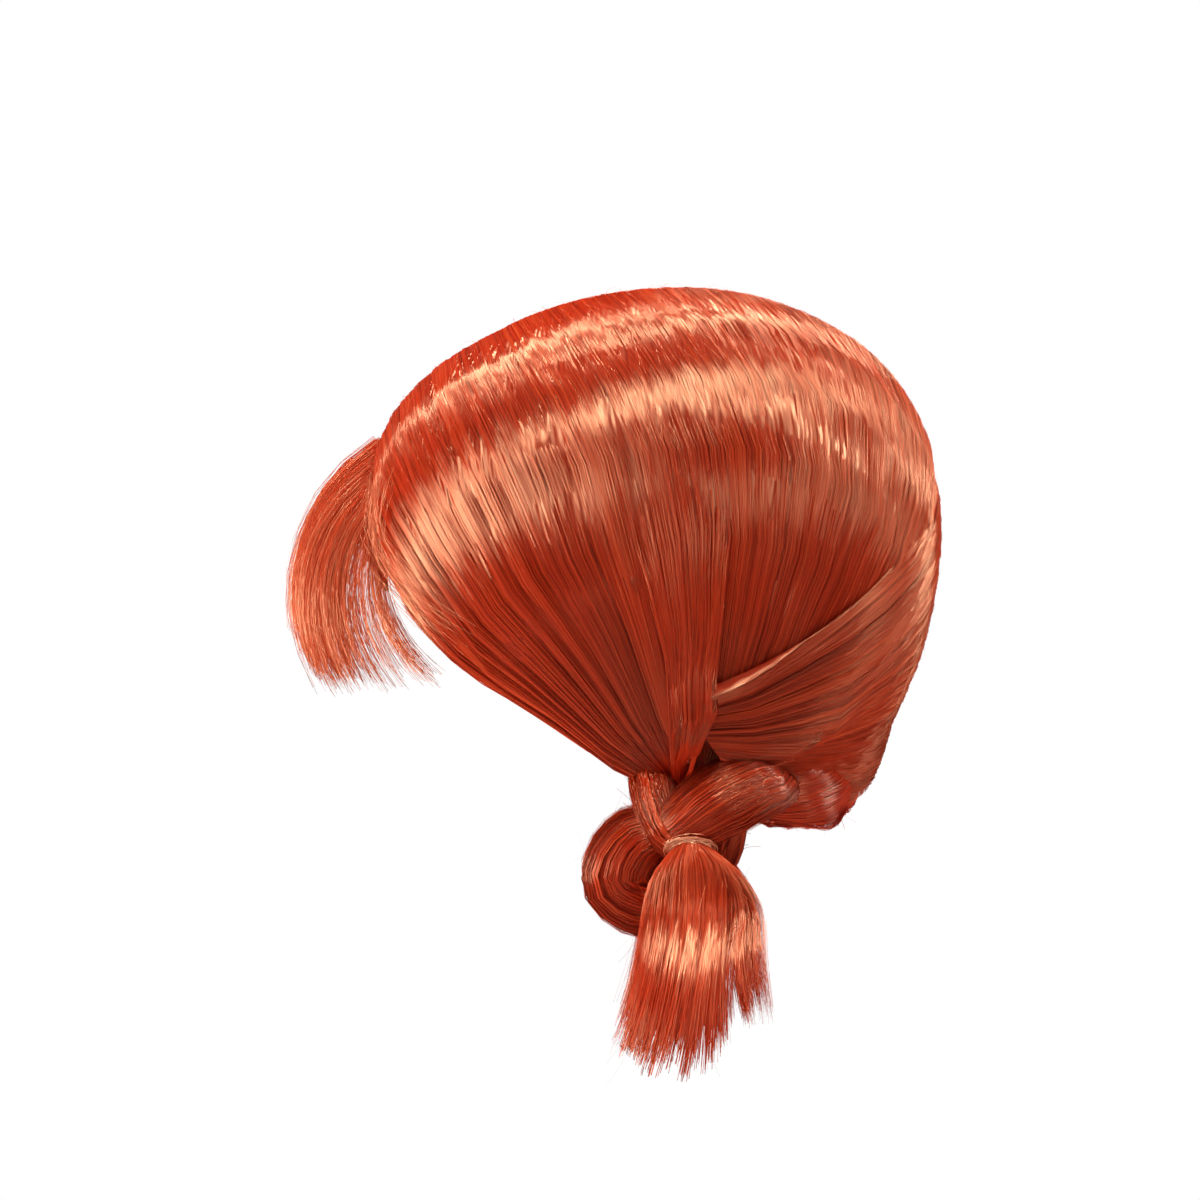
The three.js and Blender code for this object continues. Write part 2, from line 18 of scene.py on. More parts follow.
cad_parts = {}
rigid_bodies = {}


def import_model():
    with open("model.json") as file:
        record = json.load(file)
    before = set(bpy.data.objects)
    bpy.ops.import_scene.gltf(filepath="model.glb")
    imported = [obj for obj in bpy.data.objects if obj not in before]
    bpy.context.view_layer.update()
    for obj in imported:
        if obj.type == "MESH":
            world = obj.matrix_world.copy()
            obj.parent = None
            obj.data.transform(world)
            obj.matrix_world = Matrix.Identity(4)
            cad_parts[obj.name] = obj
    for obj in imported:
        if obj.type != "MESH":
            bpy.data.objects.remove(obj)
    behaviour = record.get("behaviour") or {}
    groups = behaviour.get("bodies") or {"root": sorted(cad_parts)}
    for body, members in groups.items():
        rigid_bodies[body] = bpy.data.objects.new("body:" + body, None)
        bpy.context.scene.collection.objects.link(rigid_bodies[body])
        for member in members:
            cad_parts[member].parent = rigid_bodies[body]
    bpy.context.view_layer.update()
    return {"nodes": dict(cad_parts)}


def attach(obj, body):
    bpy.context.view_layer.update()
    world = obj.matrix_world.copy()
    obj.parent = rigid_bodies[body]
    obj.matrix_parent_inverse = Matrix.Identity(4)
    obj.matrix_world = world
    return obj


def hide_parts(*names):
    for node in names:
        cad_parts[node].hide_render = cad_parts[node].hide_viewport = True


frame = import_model()

LOG = logging.getLogger("wig")
MM = 0.001
BODY = "root"
SIDE_SEED = 20
MIDDLE_SEED = 7
Array = np.ndarray
Rows = tuple[tuple[float, ...], ...]


class Side(Enum):
    """The wearer's side that a piece of hair belongs to."""

    LEFT = 1
    RIGHT = -1

    @property
    def word(self) -> str:
        """The side's word in the names of nodes and pieces."""
        return self.name.lower()

    def turn(self, points: Array) -> Array:
        """Left-hand points, or their mirror image on the right."""
        return points * np.array([self.value, 1.0, 1.0])


class Slot(Enum):
    """The record's material slots that the pieces of hair fill."""

    HAIR = "hair"
    FRINGE = "fringe_hair"
    TUFT = "tuft_hair"
    TIE = "tie_elastic"


def stand_in(piece: bpy.types.Object, node: str, slot: Slot) -> None:
    """Ties a piece to the frame's body, in place of a node.

    Args:
        piece: The piece.
        node: The node that it replaces.
        slot: The slot that its material fills; not used.
    """
    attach(piece, BODY)
    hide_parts(node)


def lerp(a: Array, b: Array, share: Array) -> Array:
    """The value a share of the way from a to b."""
    return a + (b - a) * share


def smoothstep(value: Array, low: float, high: float) -> Array:
    """A smooth rise from 0 at low to 1 at high."""
    share = np.clip((value - low) / (high - low), 0.0, 1.0)
    return share * share * (3.0 - 2.0 * share)


def grid(columns: int, rows: int, reach: float = 1.0) -> tuple[Array, Array]:
    """Even shares from 0 to 1 by column, and from 0 to a reach by row, as two equal arrays."""
    across, down = np.linspace(0.0, 1.0, columns), np.linspace(0.0, reach, rows)
    return tuple(np.meshgrid(across, down, indexing="ij"))


def unit(vectors: Array) -> Array:
    """The vectors at length one."""
    return vectors / np.linalg.norm(vectors, axis=-1, keepdims=True)


def slerp(start: Array, end: Array, share: Array) -> Array:
    """Directions a share of the way along the great circles from start to end.

    Args:
        start: Unit directions at share 0.
        end: Unit directions at share 1.
        share: The shares.

    Returns:
        The unit directions.
    """
    angle = np.arccos(np.clip(np.sum(start * end, axis=-1), -1.0, 1.0))[..., None]
    part = np.asarray(share)[..., None]
    return (start * np.sin((1.0 - part) * angle) + end * np.sin(part * angle)) / np.sin(angle)


@dataclass(frozen=True)
class HeadForm:
    """The form that the hair is laid over: a head's midline swept to its two sides."""

    centre: tuple[float, float, float] = (0.0, 5.0, -90.0)
    half_width: float = 74.0
    degrees: tuple[float, ...] = (-120, -75, -45, -30, -10, 15, 42, 62, 93, 123, 140, 158, 205)
    head: tuple[float, ...] = (86, 86, 89, 90, 90.5, 95, 97, 94, 90.1, 91.5, 96, 99, 95)
    hair: tuple[float, ...] = (12, 17, 23, 14, 12, 11, 11.5, 10.5, 9.5, 9.5, 9.5, 7.5, 9)

    def midline(self, degrees: Array, heights: tuple[float, ...]) -> Array:
        """A column of the midline table at given angles, through a closed smooth curve.

        Args:
            degrees: Angles in the YZ plane, 0 at the back, 90 at the crown, 180 at the face.
            heights: The column, one value for each angle of the table.

        Returns:
            The column's value at each angle.
        """
        table = np.array(self.degrees, float)
        ring = np.concatenate([table - 360.0, table, table + 360.0])
        values = np.tile(np.array(heights, float), 3)
        slopes = np.gradient(values) / np.gradient(ring)
        wrapped = table[0] + np.mod(np.asarray(degrees, float) - table[0], 360.0)
        at = np.clip(np.searchsorted(ring, wrapped, side="right") - 1, 0, len(ring) - 2)
        span = ring[at + 1] - ring[at]
        t = (wrapped - ring[at]) / span
        start = (2 * t**3 - 3 * t**2 + 1) * values[at] + (t**3 - 2 * t**2 + t) * span * slopes[at]
        end = (3 * t**2 - 2 * t**3) * values[at + 1] + (t**3 - t**2) * span * slopes[at + 1]
        return start + end

    def direction(self, degrees: Array, lateral: Array) -> Array:
        """Unit directions by midline angle and by angle towards the left ear, in degrees.

        Args:
            degrees: Angles in the YZ plane, as in the midline table.
            lateral: Angles out of that plane, towards the left ear.

        Returns:
            The directions.
        """
        turn = np.radians(np.asarray(degrees, float))
        aside = np.radians(np.asarray(lateral, float))
        turn, aside = np.broadcast_arrays(turn, aside)
        return np.stack(
            [np.sin(aside), np.cos(aside) * np.cos(turn), np.cos(aside) * np.sin(turn)], axis=-1
        )

    def point(self, direction: Array, offset: Array) -> Array:
        """Points that stand off the head by an offset, in given directions.

        Args:
            direction: Unit directions from the head's middle.
            offset: Distances from the head.

        Returns:
            The points.
        """
        degrees = np.degrees(np.arctan2(direction[..., 2], direction[..., 1]))
        radius = self.midline(degrees, self.head) + offset
        reach = np.stack([self.half_width + offset + 0.0 * radius, radius, radius], axis=-1)
        return np.array(self.centre) + reach * direction

    def side_direction(self, y: Array, z: Array, offset: float) -> Array:
        """Directions on the left whose points at an offset have the side view's y and z.

        Args:
            y: Places along the head, towards its back.
            z: Heights.
            offset: Distance from the head.

        Returns:
            The unit directions.
        """
        up = z - self.centre[2]
        back = y - self.centre[1]
        degrees = np.degrees(np.arctan2(up, back))
        reach = np.hypot(up, back) / (self.midline(degrees, self.head) + offset)
        return self.direction(degrees, np.degrees(np.arccos(np.minimum(1.0, reach))))


HEAD = HeadForm()
OUTWARD = np.array([1.0, 0.0, 0.0])


@dataclass(frozen=True)
class LockPattern:
    """Locks of uneven width across a sheet of hair, with round crests and narrow valleys."""

    edges: tuple[float, ...]

    @staticmethod
    def uneven(count: int, seed: int) -> "LockPattern":
        """Lays out locks of uneven width.

        Args:
            count: Number of locks.
            seed: Seed of the widths.

        Returns:
            The pattern, from 0 at the front to 1 at the rear.
        """
        widths = np.random.default_rng(seed).uniform(0.55, 1.45, count)
        reach = np.concatenate([[0.0], np.cumsum(widths) / widths.sum()])
        return LockPattern(tuple(float(edge) for edge in reach))

    def draw(self, number: Array, seed: int) -> Array:
        """A chance value from 0 to 1 for each lock, by its number."""
        return np.random.default_rng(seed).uniform(0.0, 1.0, len(self.edges))[number]

    def place(self, across: Array) -> tuple[Array, Array, Array]:
        """Where hairs lie in their locks.

        Args:
            across: Shares across the sheet.

        Returns:
            The lock's number, its middle, and the crest from 0 in a valley to 1 on top.
        """
        edges = np.array(self.edges)
        number = np.clip(np.searchsorted(edges, across, side="right") - 1, 0, len(edges) - 2)
        middle = (edges[number] + edges[number + 1]) / 2.0
        share = np.clip((across - edges[number]) / (edges[number + 1] - edges[number]), 0.0, 1.0)
        return number, middle, np.sin(math.pi * share)


@dataclass(frozen=True)
class HairSheet:
    """Hair that leaves the midline between two angles and runs to a gather on the side."""

    from_deg: tuple[float, float]
    gather_y: tuple[float, float]
    gather_z: tuple[float, float]
    gather_offset: float
    end_offset: float
    front_lift: float = 0.0
    rear_end: float = 1.0
    reach: float = 1.0
    parting_deg: float = 0.4

    def direction(self, across: Array, down: Array) -> Array:
        """Directions at shares across the sheet, front to rear, and along its hairs.

        Args:
            across: Shares from the front edge to the rear edge.
            down: Shares along the hairs, from the parting.

        Returns:
            The unit directions.
        """
        across, down = np.broadcast_arrays(np.asarray(across, float), np.asarray(down, float))
        start = HEAD.direction(lerp(*self.from_deg, across), self.parting_deg)
        y, z = lerp(*self.gather_y, across), lerp(*self.gather_z, across)
        end = HEAD.side_direction(y, z, self.gather_offset)
        reach = down * lerp(1.0, self.rear_end, smoothstep(across, 0.7, 1.0))
        way = slerp(start, end, reach)
        bow = np.sin(math.pi * np.clip(down, 0.0, 1.0) ** 1.5)
        way[..., 2] += self.front_lift * bow * (1.0 - across) ** 4
        return unit(way)

    def height(self, down: Array, full: Array) -> Array:
        """How far the hair stands off: low in the parting, then full, then gathered."""
        parting = lerp(0.5, 1.06, smoothstep(down, 0.0, 0.09))
        return lerp(full * parting, self.end_offset, smoothstep(down, 0.72, 1.0))

    def full_height(self, across: Array) -> Array:
        """The hair's full height over the head, by the angle it leaves the midline at."""
        return HEAD.midline(lerp(*self.from_deg, across), HEAD.hair)

    def find(self, direction: Array) -> tuple[Array, Array, Array]:
        """Where directions lie in the sheet.

        Args:
            direction: Unit directions.

        Returns:
            The shares across and along, and a mask of the places outside the sheet.
        """

        def aside(across: Array) -> Array:
            """How far the directions lie to one side of the hairs at given shares across.

            Args:
                across: Shares across the sheet, one for each direction.

            Returns:
                The distances from the hairs' great circles, with a sign for the side.
            """
            start = self.direction(across, np.zeros_like(across))
            end = self.direction(across, np.ones_like(across))
            return np.sum(unit(np.cross(start, end)) * direction, axis=-1)

        low = np.zeros(direction.shape[:-1])
        high = np.ones_like(low)
        first, last = aside(low), aside(high)
        beside = first * last > 0
        nearer_front = np.abs(first) < np.abs(last)
        high = np.where(beside & nearer_front, 0.0, high)
        low = np.where(beside & ~nearer_front, 1.0, low)
        for _ in range(20):
            middle = (low + high) / 2.0
            crossed = aside(low) * aside(middle) <= 0
            high = np.where(crossed, middle, high)
            low = np.where(crossed, low, middle)
        start = self.direction(low, np.zeros_like(low))
        end = self.direction(low, np.ones_like(low))
        whole = np.arccos(np.clip(np.sum(start * end, axis=-1), -1.0, 1.0))
        part = np.arccos(np.clip(np.sum(start * direction, axis=-1), -1.0, 1.0))
        down = part / whole
        return low, np.minimum(self.reach, down), beside | (down > self.reach + 0.02)


SIDE_SHEET = HairSheet((158, 8), (9, 31), (-172, -166), 16.5, 19.5, front_lift=0.105, rear_end=0.8)
BACK_SHEET = HairSheet((21, -46), (31.5, 37), (-136.5, -167), 22, 24.5, reach=1.1)
EAR_SHEET = HairSheet((103, 88.5), (18.5, 24.8), (-167, -164.5), 27, 27)


@dataclass(frozen=True)
class Layers:
    """How the sheets of hair lie over the cap and over each other, as offsets from the head."""

    cap: float = 1.5
    gap: float = 1.2
    seat: float = 0.4
    hang_off: float = 11.0
    thinnest: float = 1.2
    blend: float = 1.0

    def over_cap(self, down: Array) -> Array:
        """The underside of hair that lies on the cap."""
        return self.cap + self.gap + self.hang_off * smoothstep(down, 0.6, 1.0)

    def side_crest(self, across: Array, down: Array) -> Array:
        """The top of the side hair, which thins out under the back hair.

        Args:
            across: Shares from the front edge to the rear edge.
            down: Shares along the hairs, from the parting.

        Returns:
            Offsets from the head.
        """
        height = SIDE_SHEET.height(down, SIDE_SHEET.full_height(across))
        edge = lerp(0.62, 1.0, smoothstep(across, 0.0, 0.06))
        thinnest = self.over_cap(down) + self.thinnest
        return np.maximum(thinnest, lerp(height * edge, thinnest, smoothstep(across, 0.84, 1.0)))

    def back_inner(self, across: Array, down: Array) -> Array:
        """The underside of the back hair: on the side hair in front, on the cap behind.

        Args:
            across: Shares from the front edge to the rear edge.
            down: Shares along the hairs, from the parting.

        Returns:
            Offsets from the head.
        """
        below, share, outside = SIDE_SHEET.find(BACK_SHEET.direction(across, down))
        over_side = self.side_crest(below, share) - self.blend
        over_side = over_side + (self.gap + self.seat + self.blend) * smoothstep(down, 0.35, 0.75)
        return np.maximum(self.over_cap(down), np.where(outside, 0.0, over_side))

    def back_crest(self, across: Array, down: Array) -> Array:
        """The top of the back hair.

        Args:
            across: Shares from the front edge to the rear edge.
            down: Shares along the hairs, from the parting.

        Returns:
            Offsets from the head.
        """
        height = BACK_SHEET.height(down, BACK_SHEET.full_height(across))
        rising = lerp(self.thinnest, 4.5, smoothstep(across, 0.0, 0.15))
        rising = rising * (1.0 - 0.6 * smoothstep(down, 0.8, 1.1))
        tucked = 4.5 * smoothstep(across, 0.82, 1.0) * smoothstep(down, 0.1, 0.5)
        return np.maximum(height - tucked, self.back_inner(across, down) + rising * (1.0 - tucked / 9.0))

    def under_ear_lock(self, direction: Array) -> Array:
        """What the ear lock lies on: the end of the back hair, or else the side hair.

        Args:
            direction: Unit directions.

        Returns:
            Offsets from the head.
        """
        across, down, outside = BACK_SHEET.find(direction)
        below, share, _ = SIDE_SHEET.find(direction)
        return np.where(outside, self.side_crest(below, share), self.back_crest(across, down))


LAYERS = Layers()


@dataclass
class Fibres:
    """Guide lines of fibres, each a row of points, with what the tubes and finishes need."""

    points: Array
    out: Array
    girth: Array
    shade: Array
    across: Array
    loose: Array
    roll: Array

    def facing(self) -> tuple[Array, Array]:
        """The way that each fibre's flat side faces, a little rolled, and the way across it.

        Returns:
            Both, as unit vectors by fibre and point.
        """
        along = unit(np.gradient(self.points, axis=1))
        aside = unit(np.cross(along, self.out))
        return unit(self.out + np.tan(self.roll)[:, None, None] * aside), aside

    def on(self, side: Side) -> "Fibres":
        """The same fibres on one side."""
        points, out = side.turn(self.points), side.turn(self.out)
        return Fibres(points, out, self.girth, self.shade, self.across, self.loose, self.roll)


def guide_mesh(name: str, sets: list[Fibres]) -> bpy.types.Mesh:
    """Makes the edges that tubes are swept along.

    Args:
        name: Name of the mesh.
        sets: Fibres whose rows may differ in length between the sets.

    Returns:
        A mesh of loose edges in metres, with the fibres' values as attributes.
    """
    places, edges = [], []
    values: dict[str, list[Array]] = {}
    strands: list[Array] = []
    vectors: dict[str, list[Array]] = {"out": [], "aside": []}
    first = 0
    strand = 0
    for one in sets:
        count, steps, _ = one.points.shape
        index = first + np.arange(count * steps).reshape(count, steps)
        edges.append(np.stack([index[:, :-1].ravel(), index[:, 1:].ravel()], axis=-1))
        places.append(one.points.reshape(-1, 3) * MM)
        for key, value in (
            ("girth", one.girth),
            ("shade", one.shade[:, None]),
            ("across", one.across[:, None]),
            ("along", np.linspace(0.0, 1.0, steps)),
            ("loose", one.loose),
        ):
            values.setdefault(key, []).append(np.broadcast_to(value, (count, steps)).ravel())
        strands.append(np.repeat(np.arange(strand, strand + count), steps))
        for key, way in zip(vectors, one.facing()):
            vectors[key].append(way.reshape(-1, 3))
        first += count * steps
        strand += count
    mesh = bpy.data.meshes.new(name)
    flat_places = np.concatenate(places)
    flat_edges = np.concatenate(edges)
    mesh.vertices.add(len(flat_places))
    mesh.vertices.foreach_set("co", flat_places.astype(np.float32).ravel())
    mesh.edges.add(len(flat_edges))
    mesh.edges.foreach_set("vertices", flat_edges.astype(np.int32).ravel())
    for key, parts in values.items():
        data = mesh.attributes.new(key, "FLOAT", "POINT").data
        data.foreach_set("value", np.concatenate(parts).astype(np.float32))
    for key, parts in vectors.items():
        data = mesh.attributes.new(key, "FLOAT_VECTOR", "POINT").data
        data.foreach_set("vector", np.concatenate(parts).astype(np.float32).ravel())
    data = mesh.attributes.new("strand", "INT", "POINT").data
    data.foreach_set("value", np.concatenate(strands).astype(np.int32))
    mesh.update()
    return mesh


@dataclass
class Solid:
    """A closed body under the fibres, with the values that its finish reads."""

    places: Array
    faces: list[tuple[int, ...]]
    across: Array
    along: Array
    aside: Array
    shade: float

    def mesh(self, name: str, side: Side) -> bpy.types.Mesh:
        """Makes the body's mesh in metres, with its faces pointing outwards.

        Args:
            name: Name of the mesh.
            side: Which side it is made for.

        Returns:
            The mesh, smooth shaded.
        """
        mesh = bpy.data.meshes.new(name)
        places = side.turn(self.places) * MM
        mesh.from_pydata(places.tolist(), [], self.faces)
        corners = np.array([face[:3] for face in self.faces])
        volume = np.einsum("ij,ij->i", places[corners[:, 0]], np.cross(*places[corners[:, 1:].T]))
        if volume.sum() < 0:
            mesh.flip_normals()
        shades = np.full(len(places), self.shade)
        for key, value in (("across", self.across), ("along", self.along), ("shade", shades)):
            data = mesh.attributes.new(key, "FLOAT", "POINT").data
            data.foreach_set("value", np.asarray(value, np.float32))
        data = mesh.attributes.new("aside", "FLOAT_VECTOR", "POINT").data
        data.foreach_set("vector", side.turn(self.aside).astype(np.float32).ravel())
        mesh.shade_smooth()
        return mesh


def shell(outer: Array, inner: Array, shade: float) -> Solid:
    """Closes two grids of points into one thin body.

    Args:
        outer: Points of the outer face, by column and step.
        inner: Points of the inner face, in the same order.
        shade: The body's tone, which the callers set darker than the fibres as painted shade in the gaps
            between them.

    Returns:
        The closed body.
    """
    columns, steps, _ = outer.shape
    index = np.arange(2 * columns * steps).reshape(2, columns, steps)
    over, under = index
    faces: list[Array] = []

    def strip(a: Array, b: Array, c: Array, d: Array) -> None:
        """Adds a quad for each corner of four equal arrays."""
        faces.append(np.stack([a.ravel(), b.ravel(), c.ravel(), d.ravel()], axis=-1))

    strip(over[:-1, :-1], over[1:, :-1], over[1:, 1:], over[:-1, 1:])
    strip(under[:-1, :-1], under[:-1, 1:], under[1:, 1:], under[1:, :-1])
    strip(over[1:, 0], over[:-1, 0], under[:-1, 0], under[1:, 0])
    strip(over[:-1, -1], over[1:, -1], under[1:, -1], under[:-1, -1])
    strip(over[0, :-1], over[0, 1:], under[0, 1:], under[0, :-1])
    strip(over[-1, 1:], over[-1, :-1], under[-1, :-1], under[-1, 1:])
    across = np.broadcast_to(np.linspace(0, 1, columns)[None, :, None], (2, columns, steps))
    along = np.broadcast_to(np.linspace(0, 1, steps)[None, None, :], (2, columns, steps))
    places = np.concatenate([outer.reshape(-1, 3), inner.reshape(-1, 3)])
    quads = [tuple(int(i) for i in quad) for quad in np.concatenate(faces)]
    aside = np.tile(unit(np.gradient(outer, axis=0)).reshape(-1, 3), (2, 1))
    return Solid(places, quads, across.ravel(), along.ravel(), aside, shade)


@dataclass(frozen=True)
class Sweep:
    """Oval sections along a smooth curve, which a strand of hair fills."""

    centre: Array
    wide: Array
    deep: Array
    half_width: Array
    half_depth: Array

    @staticmethod
    def through(rows: Rows, count: int, outward: Array) -> "Sweep":
        """Sweeps sections through rows of a place and two half sizes.

        Args:
            rows: Each with x, y, z, half width and half depth.
            count: Number of sections.
            outward: One direction, or one for each section, that the depth turns to.

        Returns:
            The sections.
        """
        table = np.array(rows, float)
        share = np.linspace(0.0, 1.0, count) * (len(table) - 1)
        centre = curve_through(table[:, :3], share)
        tangent = unit(np.gradient(centre, axis=0))
        wide = unit(np.cross(tangent, np.broadcast_to(outward, centre.shape)))
        deep = unit(np.cross(wide, tangent))
        knots = np.arange(len(table))
        sizes = [np.interp(share, knots, table[:, column]) for column in (3, 4)]
        return Sweep(centre, wide, deep, *sizes)

    def at(self, turn: Array, fill: Array) -> Array:
        """Lines that run along the sweep.

        Args:
            turn: Angle round the section for each line and section, in radians.
            fill: Share of the way from the middle to the skin, in the same shape.

        Returns:
            Points by line and section.
        """
        aside = (fill * np.cos(turn) * self.half_width)[..., None] * self.wide
        out = (fill * np.sin(turn) * self.half_depth)[..., None] * self.deep
        return self.centre + aside + out

    def body(self, sides: int, fill: float, shade: float) -> Solid:
        """The closed body inside the strand.

        Args:
            sides: Number of sides of a section.
            fill: Its size, as a share of the section.
            shade: Its tone, which the callers set darker than the fibres as painted shade in the gaps
                between them.

        Returns:
            The closed body.
        """
        steps = len(self.centre)
        turn = np.linspace(0.0, 2.0 * math.pi, sides, endpoint=False)[:, None]
        rings = self.at(np.broadcast_to(turn, (sides, steps)), np.full((sides, steps), fill))
        index = np.arange(sides * steps).reshape(sides, steps)
        after = np.roll(index, -1, axis=0)
        start_pole, end_pole = sides * steps, sides * steps + 1
        quads = np.stack([index[:, :-1], after[:, :-1], after[:, 1:], index[:, 1:]], axis=-1)
        faces = [tuple(int(i) for i in quad) for quad in quads.reshape(-1, 4)]
        faces += [(start_pole, int(b), int(a)) for a, b in zip(index[:, 0], after[:, 0])]
        faces += [(end_pole, int(a), int(b)) for a, b in zip(index[:, -1], after[:, -1])]
        places = np.concatenate([rings.reshape(-1, 3), self.centre[:1], self.centre[-1:]])
        across = np.repeat(np.abs(np.linspace(-1, 1, sides)), steps)
        along = np.tile(np.linspace(0, 1, steps), sides)
        round_it = unit(np.roll(rings, -1, axis=0) - np.roll(rings, 1, axis=0)).reshape(-1, 3)
        aside = np.concatenate([round_it, self.wide[:1], self.wide[-1:]])
        return Solid(places, faces, np.append(across, [0, 0]), np.append(along, [0, 1]), aside, shade)


def curve_through(knots: Array, share: Array) -> Array:
    """Points on a smooth curve through knots, which doesn't overshoot where they are close.

    Args:
        knots: The points that it passes through.
        share: Places along it, in knots from 0 to the last.

    Returns:
        The points at those places.
    """
    ends = np.concatenate([[2 * knots[0] - knots[1]], knots, [2 * knots[-1] - knots[-2]]])
    at = np.clip(np.floor(share).astype(int), 0, len(knots) - 2)
    weight = (share - at)[:, None]
    p0, p1, p2, p3 = (ends[at + i] for i in range(4))
    d0, d1, d2 = (
        np.sqrt(np.linalg.norm(b - a, axis=-1, keepdims=True)) + 1e-9
        for a, b in ((p0, p1), (p1, p2), (p2, p3))
    )
    t1 = ((p1 - p0) / d0 - (p2 - p0) / (d0 + d1) + (p2 - p1) / d1) * d1
    t2 = ((p2 - p1) / d1 - (p3 - p1) / (d1 + d2) + (p3 - p2) / d2) * d1
    c2 = -3 * p1 + 3 * p2 - 2 * t1 - t2
    c3 = 2 * p1 - 2 * p2 + t1 + t2
    return p1 + t1 * weight + c2 * weight**2 + c3 * weight**3


class NodeSheet:
    """A short hand for laying out the nodes of one tree."""

    def __init__(self, tree: bpy.types.NodeTree) -> None:
        """Keeps the tree that nodes are added to."""
        self.tree = tree

    def add(self, kind: str, **options: object) -> bpy.types.Node:
        """Adds a node and sets its options.

        Args:
            kind: Blender's name of the node's type.
            options: Properties of the node.

        Returns:
            The node.
        """
        node = self.tree.nodes.new(kind)
        for key, value in options.items():
            setattr(node, key, value)
        return node

    def link(self, out: bpy.types.NodeSocket, into: bpy.types.NodeSocket) -> None:
        """Joins two sockets."""
        self.tree.links.new(out, into)

    def attribute(self, name: str, kind: str) -> bpy.types.NodeSocket:
        """Adds a reader of a named attribute.

        Args:
            name: The attribute.
            kind: Its type of data.

        Returns:
            Its value.
        """
        node = self.add("GeometryNodeInputNamedAttribute", data_type=kind)
        node.inputs["Name"].default_value = name
        return node.outputs["Attribute"]

    def bump(self, height: bpy.types.NodeSocket, strength: float, depth: float) -> bpy.types.NodeSocket:
        """Adds a fine relief.

        Args:
            height: The relief's height, from 0 to 1.
            strength: Its strength.
            depth: Its depth, in millimetres.

        Returns:
            The normal that it gives.
        """
        node = self.add("ShaderNodeBump")
        node.inputs["Strength"].default_value = strength
        node.inputs["Distance"].default_value = depth * MM
        self.link(height, node.inputs["Height"])
        return node.outputs["Normal"]

    def math(self, operation: str, *terms: object) -> bpy.types.NodeSocket:
        """Adds a math node.

        Args:
            operation: Its operation.
            terms: Sockets or numbers, in the order of its inputs.

        Returns:
            Its output.
        """
        node = self.add("ShaderNodeMath", operation=operation)
        for socket, term in zip(node.inputs, terms):
            if isinstance(term, bpy.types.NodeSocket):
                self.link(term, socket)
            else:
                socket.default_value = term
        return node.outputs[0]


@dataclass(frozen=True)
class FibreCut:
    """How the fibres of a piece are cut, in millimetres, and how a loose one swings."""

    radius: float
    wave: float
    seed: int
    flatness: float = 0.12
    sides: int = 3
    waves_per_metre: float = 22.0


